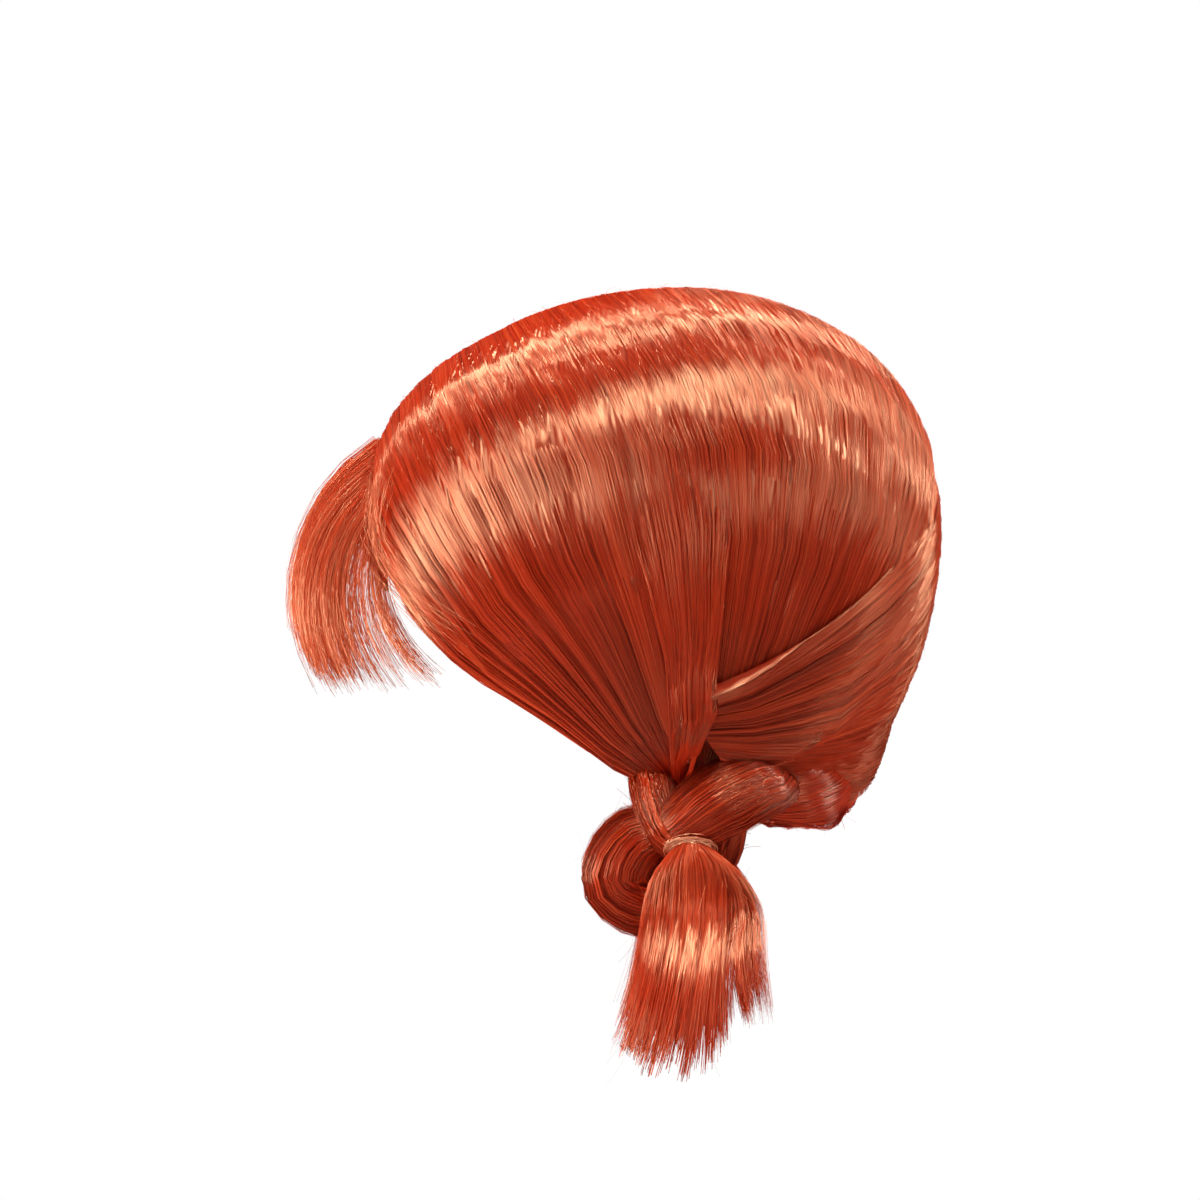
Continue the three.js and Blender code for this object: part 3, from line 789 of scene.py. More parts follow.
class FibreTree:
    """The node tree that sweeps tubes along guide lines and lays them over their body."""

    def __init__(self) -> None:
        """Builds the tree once, with named inputs for its sizes."""
        self.tree = bpy.data.node_groups.new("fibre_tubes", "GeometryNodeTree")
        face = self.tree.interface
        face.new_socket("Guides", in_out="INPUT", socket_type="NodeSocketGeometry")
        for name, kind in (
            ("Body", "NodeSocketObject"),
            ("Thickness", "NodeSocketFloat"),
            ("Sides", "NodeSocketInt"),
            ("Flatness", "NodeSocketFloat"),
            ("Wave", "NodeSocketFloat"),
            ("Waves per Metre", "NodeSocketFloat"),
            ("Seed", "NodeSocketInt"),
            ("Finish", "NodeSocketMaterial"),
        ):
            face.new_socket(name, in_out="INPUT", socket_type=kind)
        face.new_socket("Hair", in_out="OUTPUT", socket_type="NodeSocketGeometry")
        self.ids = {item.name: item.identifier for item in face.items_tree if item.in_out == "INPUT"}
        self._lay_out(NodeSheet(self.tree))

    def _lay_out(self, sheet: NodeSheet) -> None:
        """Adds the nodes: guides to curves, a wave, tubes, the body, and the finish.

        Args:
            sheet: The tree that they are added to.
        """
        given = sheet.add("NodeGroupInput").outputs
        lines = sheet.add("GeometryNodeMeshToCurve")
        sheet.link(given["Guides"], lines.inputs["Mesh"])

        # Each strand swings by its own part of a noise, and only where it is loose.
        chance = sheet.add("FunctionNodeRandomValue", data_type="FLOAT")
        sheet.link(sheet.attribute("strand", "INT"), chance.inputs["ID"])
        sheet.link(given["Seed"], chance.inputs["Seed"])
        drawn = next(socket for socket in chance.outputs if socket.enabled)
        noise = sheet.add("ShaderNodeTexNoise", noise_dimensions="4D")
        sheet.link(given["Waves per Metre"], noise.inputs["Scale"])
        noise.inputs["Detail"].default_value = 1.0
        sheet.link(sheet.math("MULTIPLY", drawn, 40.0), noise.inputs["W"])
        centred = sheet.add("ShaderNodeVectorMath", operation="SUBTRACT")
        sheet.link(noise.outputs["Color"], centred.inputs[0])
        centred.inputs[1].default_value = (0.5, 0.5, 0.5)
        loose = sheet.attribute("loose", "FLOAT")
        swing = sheet.add("ShaderNodeVectorMath", operation="SCALE")
        sheet.link(centred.outputs[0], swing.inputs[0])
        sheet.link(sheet.math("MULTIPLY", given["Wave"], loose), swing.inputs["Scale"])
        moved = sheet.add("GeometryNodeSetPosition")
        sheet.link(lines.outputs["Curve"], moved.inputs["Geometry"])
        sheet.link(swing.outputs[0], moved.inputs["Offset"])

        # A flattened ring is swept along each curve, with its flat side facing out.
        faced = sheet.add("GeometryNodeSetCurveNormal", mode="FREE")
        sheet.link(moved.outputs["Geometry"], faced.inputs["Curve"])
        sheet.link(sheet.attribute("out", "FLOAT_VECTOR"), faced.inputs["Normal"])
        girth = sheet.attribute("girth", "FLOAT")
        ring = sheet.add("GeometryNodeCurvePrimitiveCircle", mode="RADIUS")
        sheet.link(given["Sides"], ring.inputs["Resolution"])
        ring.inputs["Radius"].default_value = 1.0
        cornered = sheet.add("GeometryNodeCurveSplineType", spline_type="BEZIER")
        sheet.link(ring.outputs["Curve"], cornered.inputs["Curve"])
        sharp = sheet.add("GeometryNodeCurveSetHandles", handle_type="VECTOR")
        sheet.link(cornered.outputs["Curve"], sharp.inputs["Curve"])
        flat = sheet.add("GeometryNodeTransform")
        sheet.link(sharp.outputs["Curve"], flat.inputs["Geometry"])
        squeeze = sheet.add("ShaderNodeCombineXYZ")
        sheet.link(given["Flatness"], squeeze.inputs["X"])
        squeeze.inputs["Y"].default_value = 1.0
        squeeze.inputs["Z"].default_value = 1.0
        sheet.link(squeeze.outputs[0], flat.inputs["Scale"])
        tubes = sheet.add("GeometryNodeCurveToMesh")
        sheet.link(faced.outputs["Curve"], tubes.inputs["Curve"])
        sheet.link(sheet.math("MULTIPLY", girth, given["Thickness"]), tubes.inputs["Scale"])
        sheet.link(flat.outputs["Geometry"], tubes.inputs["Profile Curve"])
        tubes.inputs["Fill Caps"].default_value = True
        smooth = sheet.add("GeometryNodeSetShadeSmooth")
        sheet.link(tubes.outputs["Mesh"], smooth.inputs["Geometry"])

        # The body joins the tubes, and both take the finish.
        body = sheet.add("GeometryNodeObjectInfo", transform_space="ORIGINAL")
        sheet.link(given["Body"], body.inputs["Object"])
        together = sheet.add("GeometryNodeJoinGeometry")
        sheet.link(body.outputs["Geometry"], together.inputs["Geometry"])
        sheet.link(smooth.outputs["Geometry"], together.inputs["Geometry"])
        real = sheet.add("GeometryNodeRealizeInstances")
        sheet.link(together.outputs["Geometry"], real.inputs["Geometry"])
        finish = sheet.add("GeometryNodeSetMaterial")
        sheet.link(real.outputs["Geometry"], finish.inputs["Geometry"])
        sheet.link(given["Finish"], finish.inputs["Material"])
        sheet.link(finish.outputs["Geometry"], sheet.add("NodeGroupOutput").inputs["Hair"])

    def grow(
        self,
        name: str,
        sets: list[Fibres],
        body: bpy.types.Mesh,
        finish: bpy.types.Material,
        cut: FibreCut,
    ) -> bpy.types.Object:
        """Turns guide lines and their body into one plain mesh.

        Args:
            name: Name of the piece.
            sets: Guide lines of its fibres.
            body: The closed body under them.
            finish: The piece's material.
            cut: How its fibres are cut.

        Returns:
            The piece, at the origin, with no modifier left.
        """
        piece = bpy.data.objects.new(name, guide_mesh(name, sets))
        under = bpy.data.objects.new(name + "_body", body)
        for one in (piece, under):
            bpy.context.scene.collection.objects.link(one)
        modifier = piece.modifiers.new("fibres", "NODES")
        modifier.node_group = self.tree
        for key, value in (
            ("Body", under),
            ("Thickness", cut.radius * MM),
            ("Sides", cut.sides),
            ("Flatness", cut.flatness),
            ("Wave", cut.wave * MM),
            ("Waves per Metre", cut.waves_per_metre),
            ("Seed", cut.seed),
            ("Finish", finish),
        ):
            modifier[self.ids[key]] = value
        graph = bpy.context.evaluated_depsgraph_get()
        mesh = bpy.data.meshes.new_from_object(piece.evaluated_get(graph))
        piece.modifiers.clear()
        piece.data = mesh
        bpy.data.objects.remove(under)
        LOG.info("%s: %d triangles", name, sum(len(p.vertices) - 2 for p in mesh.polygons))
        return piece


Colour = tuple[float, float, float]


def opaque(colour: Colour) -> tuple[float, float, float, float]:
    """A colour with full alpha."""
    return (*colour, 1.0)


class StrandTint:
    """A shared node group that tints combed fibre by strand, paints shade towards the tips, and gives its
    fine relief.
    """

    NAME = "strand_tint"

    @classmethod
    def group(cls) -> bpy.types.NodeTree:
        """The group, built the first time it is asked for."""
        found = bpy.data.node_groups.get(cls.NAME)
        return found or cls._build()

    @classmethod
    def _build(cls) -> bpy.types.NodeTree:
        """Lays out the group's sockets and nodes.

        Returns:
            The group.
        """
        tree = bpy.data.node_groups.new(cls.NAME, "ShaderNodeTree")
        face = tree.interface
        for in_out, kind, names in (
            ("INPUT", "NodeSocketColor", ("Dark", "Middle", "Light")),
            ("INPUT", "NodeSocketFloat", ("Strands", "Length Breaks", "Variation", "Roughness")),
            ("INPUT", "NodeSocketFloat", ("Tooth Strands", "Tooth Breaks", "Tip Fade")),
            ("OUTPUT", "NodeSocketColor", ("Color",)),
            ("OUTPUT", "NodeSocketFloat", ("Roughness", "Height")),
        ):
            for name in names:
                face.new_socket(name, in_out=in_out, socket_type=kind)
        sheet = NodeSheet(tree)
        given = sheet.add("NodeGroupInput").outputs
        read = {
            key: sheet.add("ShaderNodeAttribute", attribute_name=key).outputs["Fac"]
            for key in ("shade", "across", "along")
        }

        def noise(strands: str, breaks: str, detail: float) -> bpy.types.NodeSocket:
            """A noise drawn out along the fibres, with named inputs for its two rates.

            Args:
                strands: Name of the input for its rate across.
                breaks: Name of the input for its rate along.
                detail: Its detail.

            Returns:
                Its value.
            """
            place = sheet.add("ShaderNodeCombineXYZ")
            sheet.link(sheet.math("MULTIPLY", read["across"], given[strands]), place.inputs["X"])
            sheet.link(sheet.math("MULTIPLY", read["along"], given[breaks]), place.inputs["Y"])
            drawn = sheet.add("ShaderNodeTexNoise", noise_dimensions="2D")
            drawn.inputs["Scale"].default_value = 1.0
            drawn.inputs["Detail"].default_value = detail
            sheet.link(place.outputs[0], drawn.inputs["Vector"])
            return drawn.outputs["Fac"]

        streak = noise("Strands", "Length Breaks", 3.0)
        centred = sheet.math("SUBTRACT", streak, 0.5)
        drift = sheet.math("MULTIPLY", centred, given["Variation"])
        # Painted shade: the tone darkens towards the tips and the gather, by the square of the share along.
        painted_shade = sheet.math("MULTIPLY", sheet.math("POWER", read["along"], 2.0), given["Tip Fade"])
        level = sheet.math("SUBTRACT", sheet.math("ADD", read["shade"], drift), painted_shade)
        lower = sheet.math("MULTIPLY", level, 2.0)
        upper = sheet.math("SUBTRACT", lower, 1.0)
        deep = sheet.add("ShaderNodeMix", data_type="RGBA")
        sheet.link(lower, deep.inputs[0])
        sheet.link(given["Dark"], deep.inputs[6])
        sheet.link(given["Middle"], deep.inputs[7])
        tint = sheet.add("ShaderNodeMix", data_type="RGBA")
        sheet.link(upper, tint.inputs[0])
        sheet.link(deep.outputs[2], tint.inputs[6])
        sheet.link(given["Light"], tint.inputs[7])
        made = sheet.add("NodeGroupOutput").inputs
        sheet.link(tint.outputs[2], made["Color"])
        rough = sheet.math("MULTIPLY", centred, 0.18)
        sheet.link(sheet.math("ADD", given["Roughness"], rough), made["Roughness"])
        sheet.link(noise("Tooth Strands", "Tooth Breaks", 1.0), made["Height"])
        return tree


@dataclass(frozen=True)
class HairFinish:
    """Glossy synthetic fibre: a copper red that varies by strand, with a peach shine."""

    name: str
    dark: Colour = (0.36, 0.012, 0.004)
    middle: Colour = (0.80, 0.042, 0.009)
    light: Colour = (0.95, 0.10, 0.02)
    strands: float = 420.0
    length_breaks: float = 3.0
    variation: float = 0.7
    roughness: float = 0.34
    anisotropy: float = 1.0
    shine: Colour = (1.0, 0.54, 0.29)
    specular: float = 1.0
    ior: float = 2.3
    relief: float = 1.0
    tooth_strands: float = 150.0
    tooth_breaks: float = 8.0
    # Painted shade: how much darker the fibres are drawn towards their tips and the gather.
    tip_fade: float = 0.0
    tooth_depth: float = 1.6

    def material(self) -> bpy.types.Material:
        """The material, built the first time it is asked for."""
        return bpy.data.materials.get(self.name) or self._build()

    def _build(self) -> bpy.types.Material:
        """Builds the material from the shared strand tint.

        Returns:
            The material.
        """
        material = bpy.data.materials.new(self.name)
        material.use_nodes = True
        tree = material.node_tree
        sheet = NodeSheet(tree)
        shader = tree.nodes["Principled BSDF"]
        shader.inputs["Specular IOR Level"].default_value = self.specular
        shader.inputs["Specular Tint"].default_value = opaque(self.shine)
        shader.inputs["IOR"].default_value = self.ior
        shader.inputs["Anisotropic"].default_value = self.anisotropy
        across = sheet.add("ShaderNodeAttribute", attribute_name="aside")
        sheet.link(across.outputs["Vector"], shader.inputs["Tangent"])
        tint = sheet.add("ShaderNodeGroup", node_tree=StrandTint.group())
        for key, value in (
            ("Dark", opaque(self.dark)),
            ("Middle", opaque(self.middle)),
            ("Light", opaque(self.light)),
            ("Strands", self.strands),
            ("Length Breaks", self.length_breaks),
            ("Variation", self.variation),
            ("Roughness", self.roughness),
            ("Tooth Strands", self.tooth_strands),
            ("Tooth Breaks", self.tooth_breaks),
            ("Tip Fade", self.tip_fade),
        ):
            tint.inputs[key].default_value = value
        sheet.link(tint.outputs["Color"], shader.inputs["Base Color"])
        sheet.link(tint.outputs["Roughness"], shader.inputs["Roughness"])
        normal = sheet.bump(tint.outputs["Height"], self.relief, self.tooth_depth)
        sheet.link(normal, shader.inputs["Normal"])
        return material


# The combed hair is painted darker towards the gather, as shade.
COMBED = HairFinish("combed_hair", tip_fade=0.3)
# Painted light: the fringe is a lighter, more orange copy of the combed hair's tones, a painted glow of
# light through its thin fibres.
FRINGE_GLOW_FIBRE = HairFinish(
    "fringe_fibre", dark=(0.85, 0.08, 0.025), middle=(1.0, 0.18, 0.07), light=(1.0, 0.32, 0.15)
)
# Painted light and shade: the brush is a lighter, redder copy of the combed hair's tones, and its tips are
# painted darker as shade.
TUFT_LIT_FIBRE = HairFinish(
    "tuft_fibre",
    dark=(0.5, 0.018, 0.005),
    middle=(0.92, 0.06, 0.011),
    strands=300.0,
    ior=2.5,
    roughness=0.46,
    relief=0.4,
    tip_fade=0.25,
)
# Painted highlight: the wound fibres take light peach tones, the shine of hair bent tight over the tie.
TIE_SHEEN_FIBRE = HairFinish("tie_fibre", middle=(0.85, 0.2, 0.09), light=(0.95, 0.42, 0.24))
# Painted shade: the plait is a darker copy of the combed hair's tones, for the shade that it hangs in.
PLAIT_SHADED_FIBRE = HairFinish(
    "plait_fibre",
    dark=(0.27, 0.009, 0.003),
    middle=(0.56, 0.028, 0.007),
    light=(0.8, 0.08, 0.016),
    roughness=0.4,
    ior=1.7,
)
NAPE_FIBRE = HairFinish("nape_fibre", roughness=0.45, ior=1.6)


@dataclass
class SidePiece:
    """A piece of hair that is built on the left and, as its mirror image, on the right."""

    node: ClassVar[str]
    piece: ClassVar[str]
    cut: ClassVar[FibreCut]
    slot: ClassVar[Slot] = Slot.HAIR
    finish: ClassVar[HairFinish] = COMBED
    # Painted shade: the bodies are drawn darker than their fibres, as the shade in the gaps between them.
    under_shade: ClassVar[float] = 0.3

    def body(self, shade: float) -> Solid:
        """The closed body under the fibres."""
        raise NotImplementedError

    def sets(self, rng: np.random.Generator) -> list[Fibres]:
        """All the piece's fibres, as they lie on the left."""
        raise NotImplementedError

    def build(self, side: Side, tree: FibreTree, rng: np.random.Generator) -> None:
        """Builds the piece of one side, dresses it, and puts it in place of its node.

        Args:
            side: The side.
            tree: The tree that grows the fibres.
            rng: Source of the random draws.
        """
        sets = [one.on(side) for one in self.sets(rng)]
        body = self.body(self.under_shade).mesh(self.node, side)
        piece = tree.grow(f"{side.word}_{self.piece}", sets, body, self.finish.material(), self.cut)
        stand_in(piece, f"{side.word}_{self.node}", self.slot)


def ease_ends(steps: int, root: float, tip: float) -> Array:
    """How loose a fibre is along its length: held at its root, and at its tip where that is 0.

    Args:
        steps: Number of points.
        root: Share of the length that is held at the root.
        tip: Share of the length that is held at the tip.

    Returns:
        A value from 0 to 1 for each point.
    """
    along = np.linspace(0.0, 1.0, steps)
    held = smoothstep(along, 0.0, root)
    return held if tip == 0 else held * smoothstep(1.0 - along, 0.0, tip)


@dataclass
class SheetHair(SidePiece):
    """Combed hair that covers one sheet: its layout in locks, and its fibres."""

    cut: ClassVar[FibreCut] = FibreCut(0.18, 0.55, 3)
    sheet: HairSheet
    locks: LockPattern
    lock_depth: float
    strands: LockPattern
    fibres: int
    strays: int
    steps: int = 9
    clumping: float = 0.12
    swept: float = 0.0
    settle: float = 0.6
    swell_height: float = 0.3
    rear_depth: float = 0.22
    columns: int = 110
    rows: int = 22
    body_depth: float = 1.0
    thinnest: float = 0.1
    roll: float = 0.1
    droop: float = 0.0

    def sets(self, rng: np.random.Generator) -> list[Fibres]:
        """The combed fibres, and then the strays over them."""
        return [self.combed(rng), self.flyaways(rng)]

    def crest(self, across: Array, down: Array) -> Array:
        """The top of the hair over the head."""
        raise NotImplementedError

    def inner(self, across: Array, down: Array) -> Array:
        """The underside of the hair."""
        raise NotImplementedError

    @property
    def first(self) -> float:
        """The share across that the hair on the front edge would start from."""
        return -self.swept / (1.0 - self.swept)

    def shift(self, down: Array) -> Array:
        """How far the hairs have swept back across the sheet on their way down."""
        return self.swept * np.sin(math.pi / 2.0 * np.clip(down / self.settle, 0.0, 1.0))

    def order(self, across: Array, down: Array) -> Array:
        """Which hair lies at a place, from 0 for the one that follows the front edge to 1.

        Args:
            across: Shares from the front edge to the rear edge.
            down: Shares along the hairs, from the parting.

        Returns:
            The hairs.
        """
        shift = self.shift(down)
        return ((across - shift) / (1.0 - shift) - self.first) / (1.0 - self.first)

    def across(self, order: Array, down: Array) -> Array:
        """Where across the sheet a hair lies on its way down.

        Args:
            order: The hairs, from 0 for the one that follows the front edge to 1.
            down: Shares along the hairs, from the parting.

        Returns:
            Shares across the sheet.
        """
        root = lerp(self.first, 1.0, order)
        return root + self.shift(down) * (1.0 - root)

    def start(self, order: Array) -> Array:
        """Where along the sheet a hair starts: at the parting, or else on the front edge.

        Args:
            order: The hairs, from 0 for the one that follows the front edge to 1.

        Returns:
            Shares along the sheet.
        """
        if self.swept == 0.0:
            return np.zeros_like(order)
        root = np.minimum(0.0, lerp(self.first, 1.0, order))
        needed = np.clip(-root / (1.0 - root) / self.swept, 0.0, 1.0)
        return self.settle * 2.0 / math.pi * np.arcsin(needed)

    def relief(self, across: Array, down: Array) -> Array:
        """How far the hair lies below the crest in the valleys between locks.

        Args:
            across: Shares from the front edge to the rear edge.
            down: Shares along the hairs, from the parting.

        Returns:
            The depths.
        """
        order = self.order(across, down)
        _, _, crest = self.locks.place(order)
        opened = smoothstep(down, 0.06, 0.32) * (1.0 - 0.45 * smoothstep(down, 0.75, 1.0))
        depth = self.lock_depth * lerp(1.0, self.rear_depth, smoothstep(order, 0.2, 0.6))
        return opened * depth * (1.0 - crest)

    def swell(self, across: Array, down: Array) -> Array:
        """A slow rise and fall along each strand, which breaks the shine into teeth.

        Args:
            across: The hairs that the strands are found by.
            down: Shares along the hairs, from the parting.

        Returns:
            The heights, which may be negative.
        """
        number, _, _ = self.strands.place(across)
        phase = self.strands.draw(number, 1)
        waves = lerp(1.8, 2.8, self.strands.draw(number, 2))
        height = self.swell_height * lerp(0.4, 1.0, self.strands.draw(number, 3))
        held = smoothstep(down, 0.02, 0.2) * (1.0 - 0.7 * smoothstep(down, 0.8, 1.0))
        return height * held * np.sin(2.0 * math.pi * (waves * down + phase))

    def body(self, shade: float) -> Solid:
        """The closed sheet under the fibres.

        Args:
            shade: The body's tone, darker than the fibres: painted shade in the gaps between them.

        Returns:
            The body.
        """
        across, down = grid(self.columns, self.rows, self.sheet.reach)
        direction = self.sheet.direction(across, down)
        inner = self.inner(across, down)
        outer = self.crest(across, down) - self.relief(across, down) - self.body_depth
        outer = np.maximum(outer, inner + self.thinnest)
        return shell(HEAD.point(direction, outer), HEAD.point(direction, inner), shade)

    def combed(self, rng: np.random.Generator) -> Fibres:
        """Fibres combed along the sheet and drawn together in its locks.

        Args:
            rng: Source of the random draws.

        Returns:
            The fibres.
        """
        root = (np.arange(self.fibres) + rng.uniform(0, 1, self.fibres)) / self.fibres
        number, middle, _ = self.locks.place(root)
        strand, strand_middle, _ = self.strands.place(root)
        start = self.start(root)[:, None]
        share = np.linspace(0.0, 1.0, self.steps)
        down = lerp(start, self.sheet.reach, share**1.05)
        pull = smoothstep(share, 0.05, 0.6)
        drift = rng.normal(0.0, 0.004, (self.fibres, 1)) * pull
        order = lerp(root[:, None], strand_middle[:, None], 0.14 * pull)
        clumping = self.clumping * lerp(1.0, 0.2, smoothstep(root, 0.2, 0.55))[:, None]
        order = lerp(order, middle[:, None], clumping * pull) + drift
        across = np.clip(self.across(order, down), 0.0, 1.0)
        top = self.crest(across, down) - self.relief(across, down)
        top = top + self.swell(np.broadcast_to(root[:, None], down.shape), down)
        inner = self.inner(across, down)
        lip = 1.0 - smoothstep(across, 0.0, 0.03)
        depth = 0.45 + 3.5 * smoothstep(down, 0.7, 1.0) + lip * np.maximum(0.0, top - inner - 1.0)
        layer = rng.uniform(-1.0, 0.2, (self.fibres, 1))
        offset = np.maximum(top + layer * depth, inner)
        way = self.sheet.direction(across, down)
        points = HEAD.point(way, offset)
        hem = self.droop * rng.uniform(0.0, 1.0, self.fibres) ** 2 * smoothstep(root, 0.86, 1.0)
        points[..., 2] -= hem[:, None] * np.sin(math.pi * np.clip(down / self.sheet.reach, 0.0, 1.0))
        lock_shade = 0.08 * np.sin(3.7 * number + 0.5) + 0.2 * (self.strands.draw(strand, 4) - 0.5)
        # Painted shade: fibres that lie deeper in the layer are drawn darker.
        shade = 0.52 + 0.13 * rng.normal(0, 1, self.fibres) + lock_shade + 0.12 * layer[:, 0]
        girth = rng.uniform(0.75, 1.15, (self.fibres, 1)) * lerp(0.8, 1.0, smoothstep(share, 0.0, 0.1))
        loose = ease_ends(self.steps, 0.12, 0.25)
        roll = rng.normal(0.0, self.roll, self.fibres)
        return Fibres(points, way, girth, np.clip(shade, 0.05, 1.0), root, loose, roll)

    def flyaways(self, rng: np.random.Generator) -> Fibres:
        """Thin stray fibres that stand off the combed hair and cross it.

        Args:
            rng: Source of the random draws.

        Returns:
            The fibres.
        """
        start = rng.uniform(0.0, 0.6, (self.strays, 1))
        length = rng.uniform(0.12, 0.4, (self.strays, 1))
        share = np.linspace(0.0, 1.0, self.steps)
        root = rng.uniform(0.1, 0.9, (self.strays, 1))
        down = np.clip(self.start(root) + start + length * share, 0.0, 0.97)
        order = root + rng.normal(0, 0.03, (self.strays, 1)) * share
        across = np.clip(self.across(order, down), 0.0, 1.0)
        lift = rng.uniform(0.2, 1.8, (self.strays, 1)) * np.sin(math.pi * share**0.8)
        offset = self.crest(across, down) - 0.6 + lift
        way = self.sheet.direction(across, down)
        points = HEAD.point(way, offset)
        roll = rng.normal(0.0, self.roll, self.strays)
        girth = np.full((self.strays, self.steps), 0.42) * lerp(1.0, 0.6, share)
        shade = rng.uniform(0.55, 1.0, self.strays)
        return Fibres(points, way, girth, shade, root[:, 0], np.full(self.steps, 0.6), roll)


@dataclass
class SideHair(SheetHair):
    """Hair from the centre parting, swept down and back to the plait."""

    node: ClassVar[str] = "side_hair"
    piece: ClassVar[str] = "side_hair_combed"

    def crest(self, across: Array, down: Array) -> Array:
        """The top of the side hair."""
        return LAYERS.side_crest(across, down)

    def inner(self, across: Array, down: Array) -> Array:
        """The underside, on the cap."""
        return LAYERS.over_cap(down)


@dataclass
class BackHair(SheetHair):
    """Hair from the back parting, swept forward over the side hair."""

    node: ClassVar[str] = "back_hair"
    piece: ClassVar[str] = "back_hair_combed"
    places: tuple[int, int] = (121, 45)
    smoothing: int = 16
    table: Array = field(init=False)

    def __post_init__(self) -> None:
        """Lays out the crest on a grid, smoothed where the side hair below comes to its end."""
        table = LAYERS.back_crest(*grid(*self.places, self.sheet.reach))
        for _ in range(self.smoothing):
            wide = np.pad(table, 1, mode="edge")
            beside = wide[:-2, 1:-1] + wide[2:, 1:-1] + wide[1:-1, :-2] + wide[1:-1, 2:]
            table = (beside + 2.0 * table) / 6.0
        self.table = table

    def crest(self, across: Array, down: Array) -> Array:
        """The top of the back hair, read between the places of the grid.

        Args:
            across: Shares from the front edge to the rear edge.
            down: Shares along the hairs, from the parting.

        Returns:
            Offsets from the head.
        """
        columns, rows = np.array(self.table.shape) - 1
        column = np.clip(across, 0.0, 1.0) * columns
        row = np.clip(down / self.sheet.reach, 0.0, 1.0) * rows
        left = np.minimum(np.floor(column).astype(int), columns - 1)
        above = np.minimum(np.floor(row).astype(int), rows - 1)
        first = lerp(self.table[left, above], self.table[left + 1, above], column - left)
        last = lerp(self.table[left, above + 1], self.table[left + 1, above + 1], column - left)
        return lerp(first, last, row - above)

    def inner(self, across: Array, down: Array) -> Array:
        """The underside, on the side hair and the cap."""
        return LAYERS.back_inner(across, down)


@dataclass
class EarLock(SidePiece):
    """The raised lock that lies over the end of the back hair."""

    node: ClassVar[str] = "ear_lock"
    piece: ClassVar[str] = "ear_lock_combed"
    cut: ClassVar[FibreCut] = FibreCut(0.18, 0.7, 4)
    fibres: int = 270
    steps: int = 15
    start: tuple[float, float] = (0.44, 0.56)
    thickness: float = 4.5
    sunk: float = 4.2
    middle: float = 0.45
    bend: tuple[float, float, float] = (0.0, -7.0, -5.0)
    tuck: tuple[float, float, float] = (-6.0, 0.0, -1.5)

    def sets(self, rng: np.random.Generator) -> list[Fibres]:
        """The combed fibres."""
        return [self.combed(rng)]

    def gathered(self, across: Array, down: Array) -> Array:
        """Shares across the lock once it has narrowed on its way down."""
        narrowed = 0.1 * smoothstep(down, 0.2, 0.7) + 0.3 * smoothstep(down, 0.6, 1.0)
        return lerp(across, self.middle, narrowed)

    def points(
        self, across: Array, down: Array, lift: Array, below: float = 0.0, later: Array | float = 0.0
    ) -> Array:
        """Points of the lock.

        Args:
            across: Shares across it, front to rear.
            down: Shares along it.
            lift: Height over what it lies on, as a share of its thickness.
            below: How much deeper the points lie.
            later: How much later along the sheet the lock starts.

        Returns:
            The points.
        """
        start = lerp(*self.start, (2.0 * across - 1.0) ** 2) + later
        share = lerp(start, 1.0, down)
        direction = EAR_SHEET.direction(across, share)
        full = self.thickness * lerp(0.4, 1.0, np.sin(math.pi * np.clip(across, 0, 1)))
        rise = lerp(0.0, full, smoothstep(down, 0.2, 0.75)) * lift
        sunk = below + self.sunk * (1.0 - smoothstep(down, 0.0, 0.5))
        points = HEAD.point(direction, LAYERS.under_ear_lock(direction) + 0.6 + rise - sunk)
        bend = smoothstep(down, 0.6, 1.0)[..., None]
        tuck = (smoothstep(down, 0.74, 1.1) * 2.0)[..., None]
        return points + bend * np.array(self.bend) + tuck * np.array(self.tuck)

    def body(self, shade: float) -> Solid:
        """The closed body of the lock.

        Args:
            shade: The body's tone, darker than the fibres: painted shade in the gaps between them.

        Returns:
            The body.
        """
        across, down = grid(22, 20)
        across = self.gathered(across, down)
        return shell(
            self.points(across, down, np.full(down.shape, 0.9), 1.3, 0.12),
            self.points(across, down, np.full(down.shape, -0.3), 2.0, 0.12),
            shade,
        )

    def combed(self, rng: np.random.Generator) -> Fibres:
        """The lock's fibres.

        Args:
            rng: Source of the random draws.

        Returns:
            The fibres.
        """
        count = self.fibres
        root = (np.arange(count) + rng.uniform(0, 1, count)) / count
        down = np.linspace(0.0, 1.0, self.steps)
        across = self.gathered(root[:, None], down)
        across = np.clip(across + rng.normal(0, 0.02, (count, 1)) * down, -0.03, 1.03)
        down = np.broadcast_to(down, across.shape)
        layer = rng.uniform(0.85, 1.04, (count, 1))
        lift = np.broadcast_to(layer, across.shape)
        later = rng.uniform(-0.06, 0.16, (count, 1))
        points = self.points(across, down, lift, later=later)
        shade = np.clip(0.54 + 0.14 * rng.normal(0, 1, count), 0.1, 1.0)
        girth = rng.uniform(0.75, 1.15, (count, 1)) * np.ones(self.steps)
        roll = rng.normal(0.0, 0.1, count)
        way = unit(points - np.array(HEAD.centre))
        return Fibres(points, way, girth, shade, root, ease_ends(self.steps, 0.2, 0.2), roll)


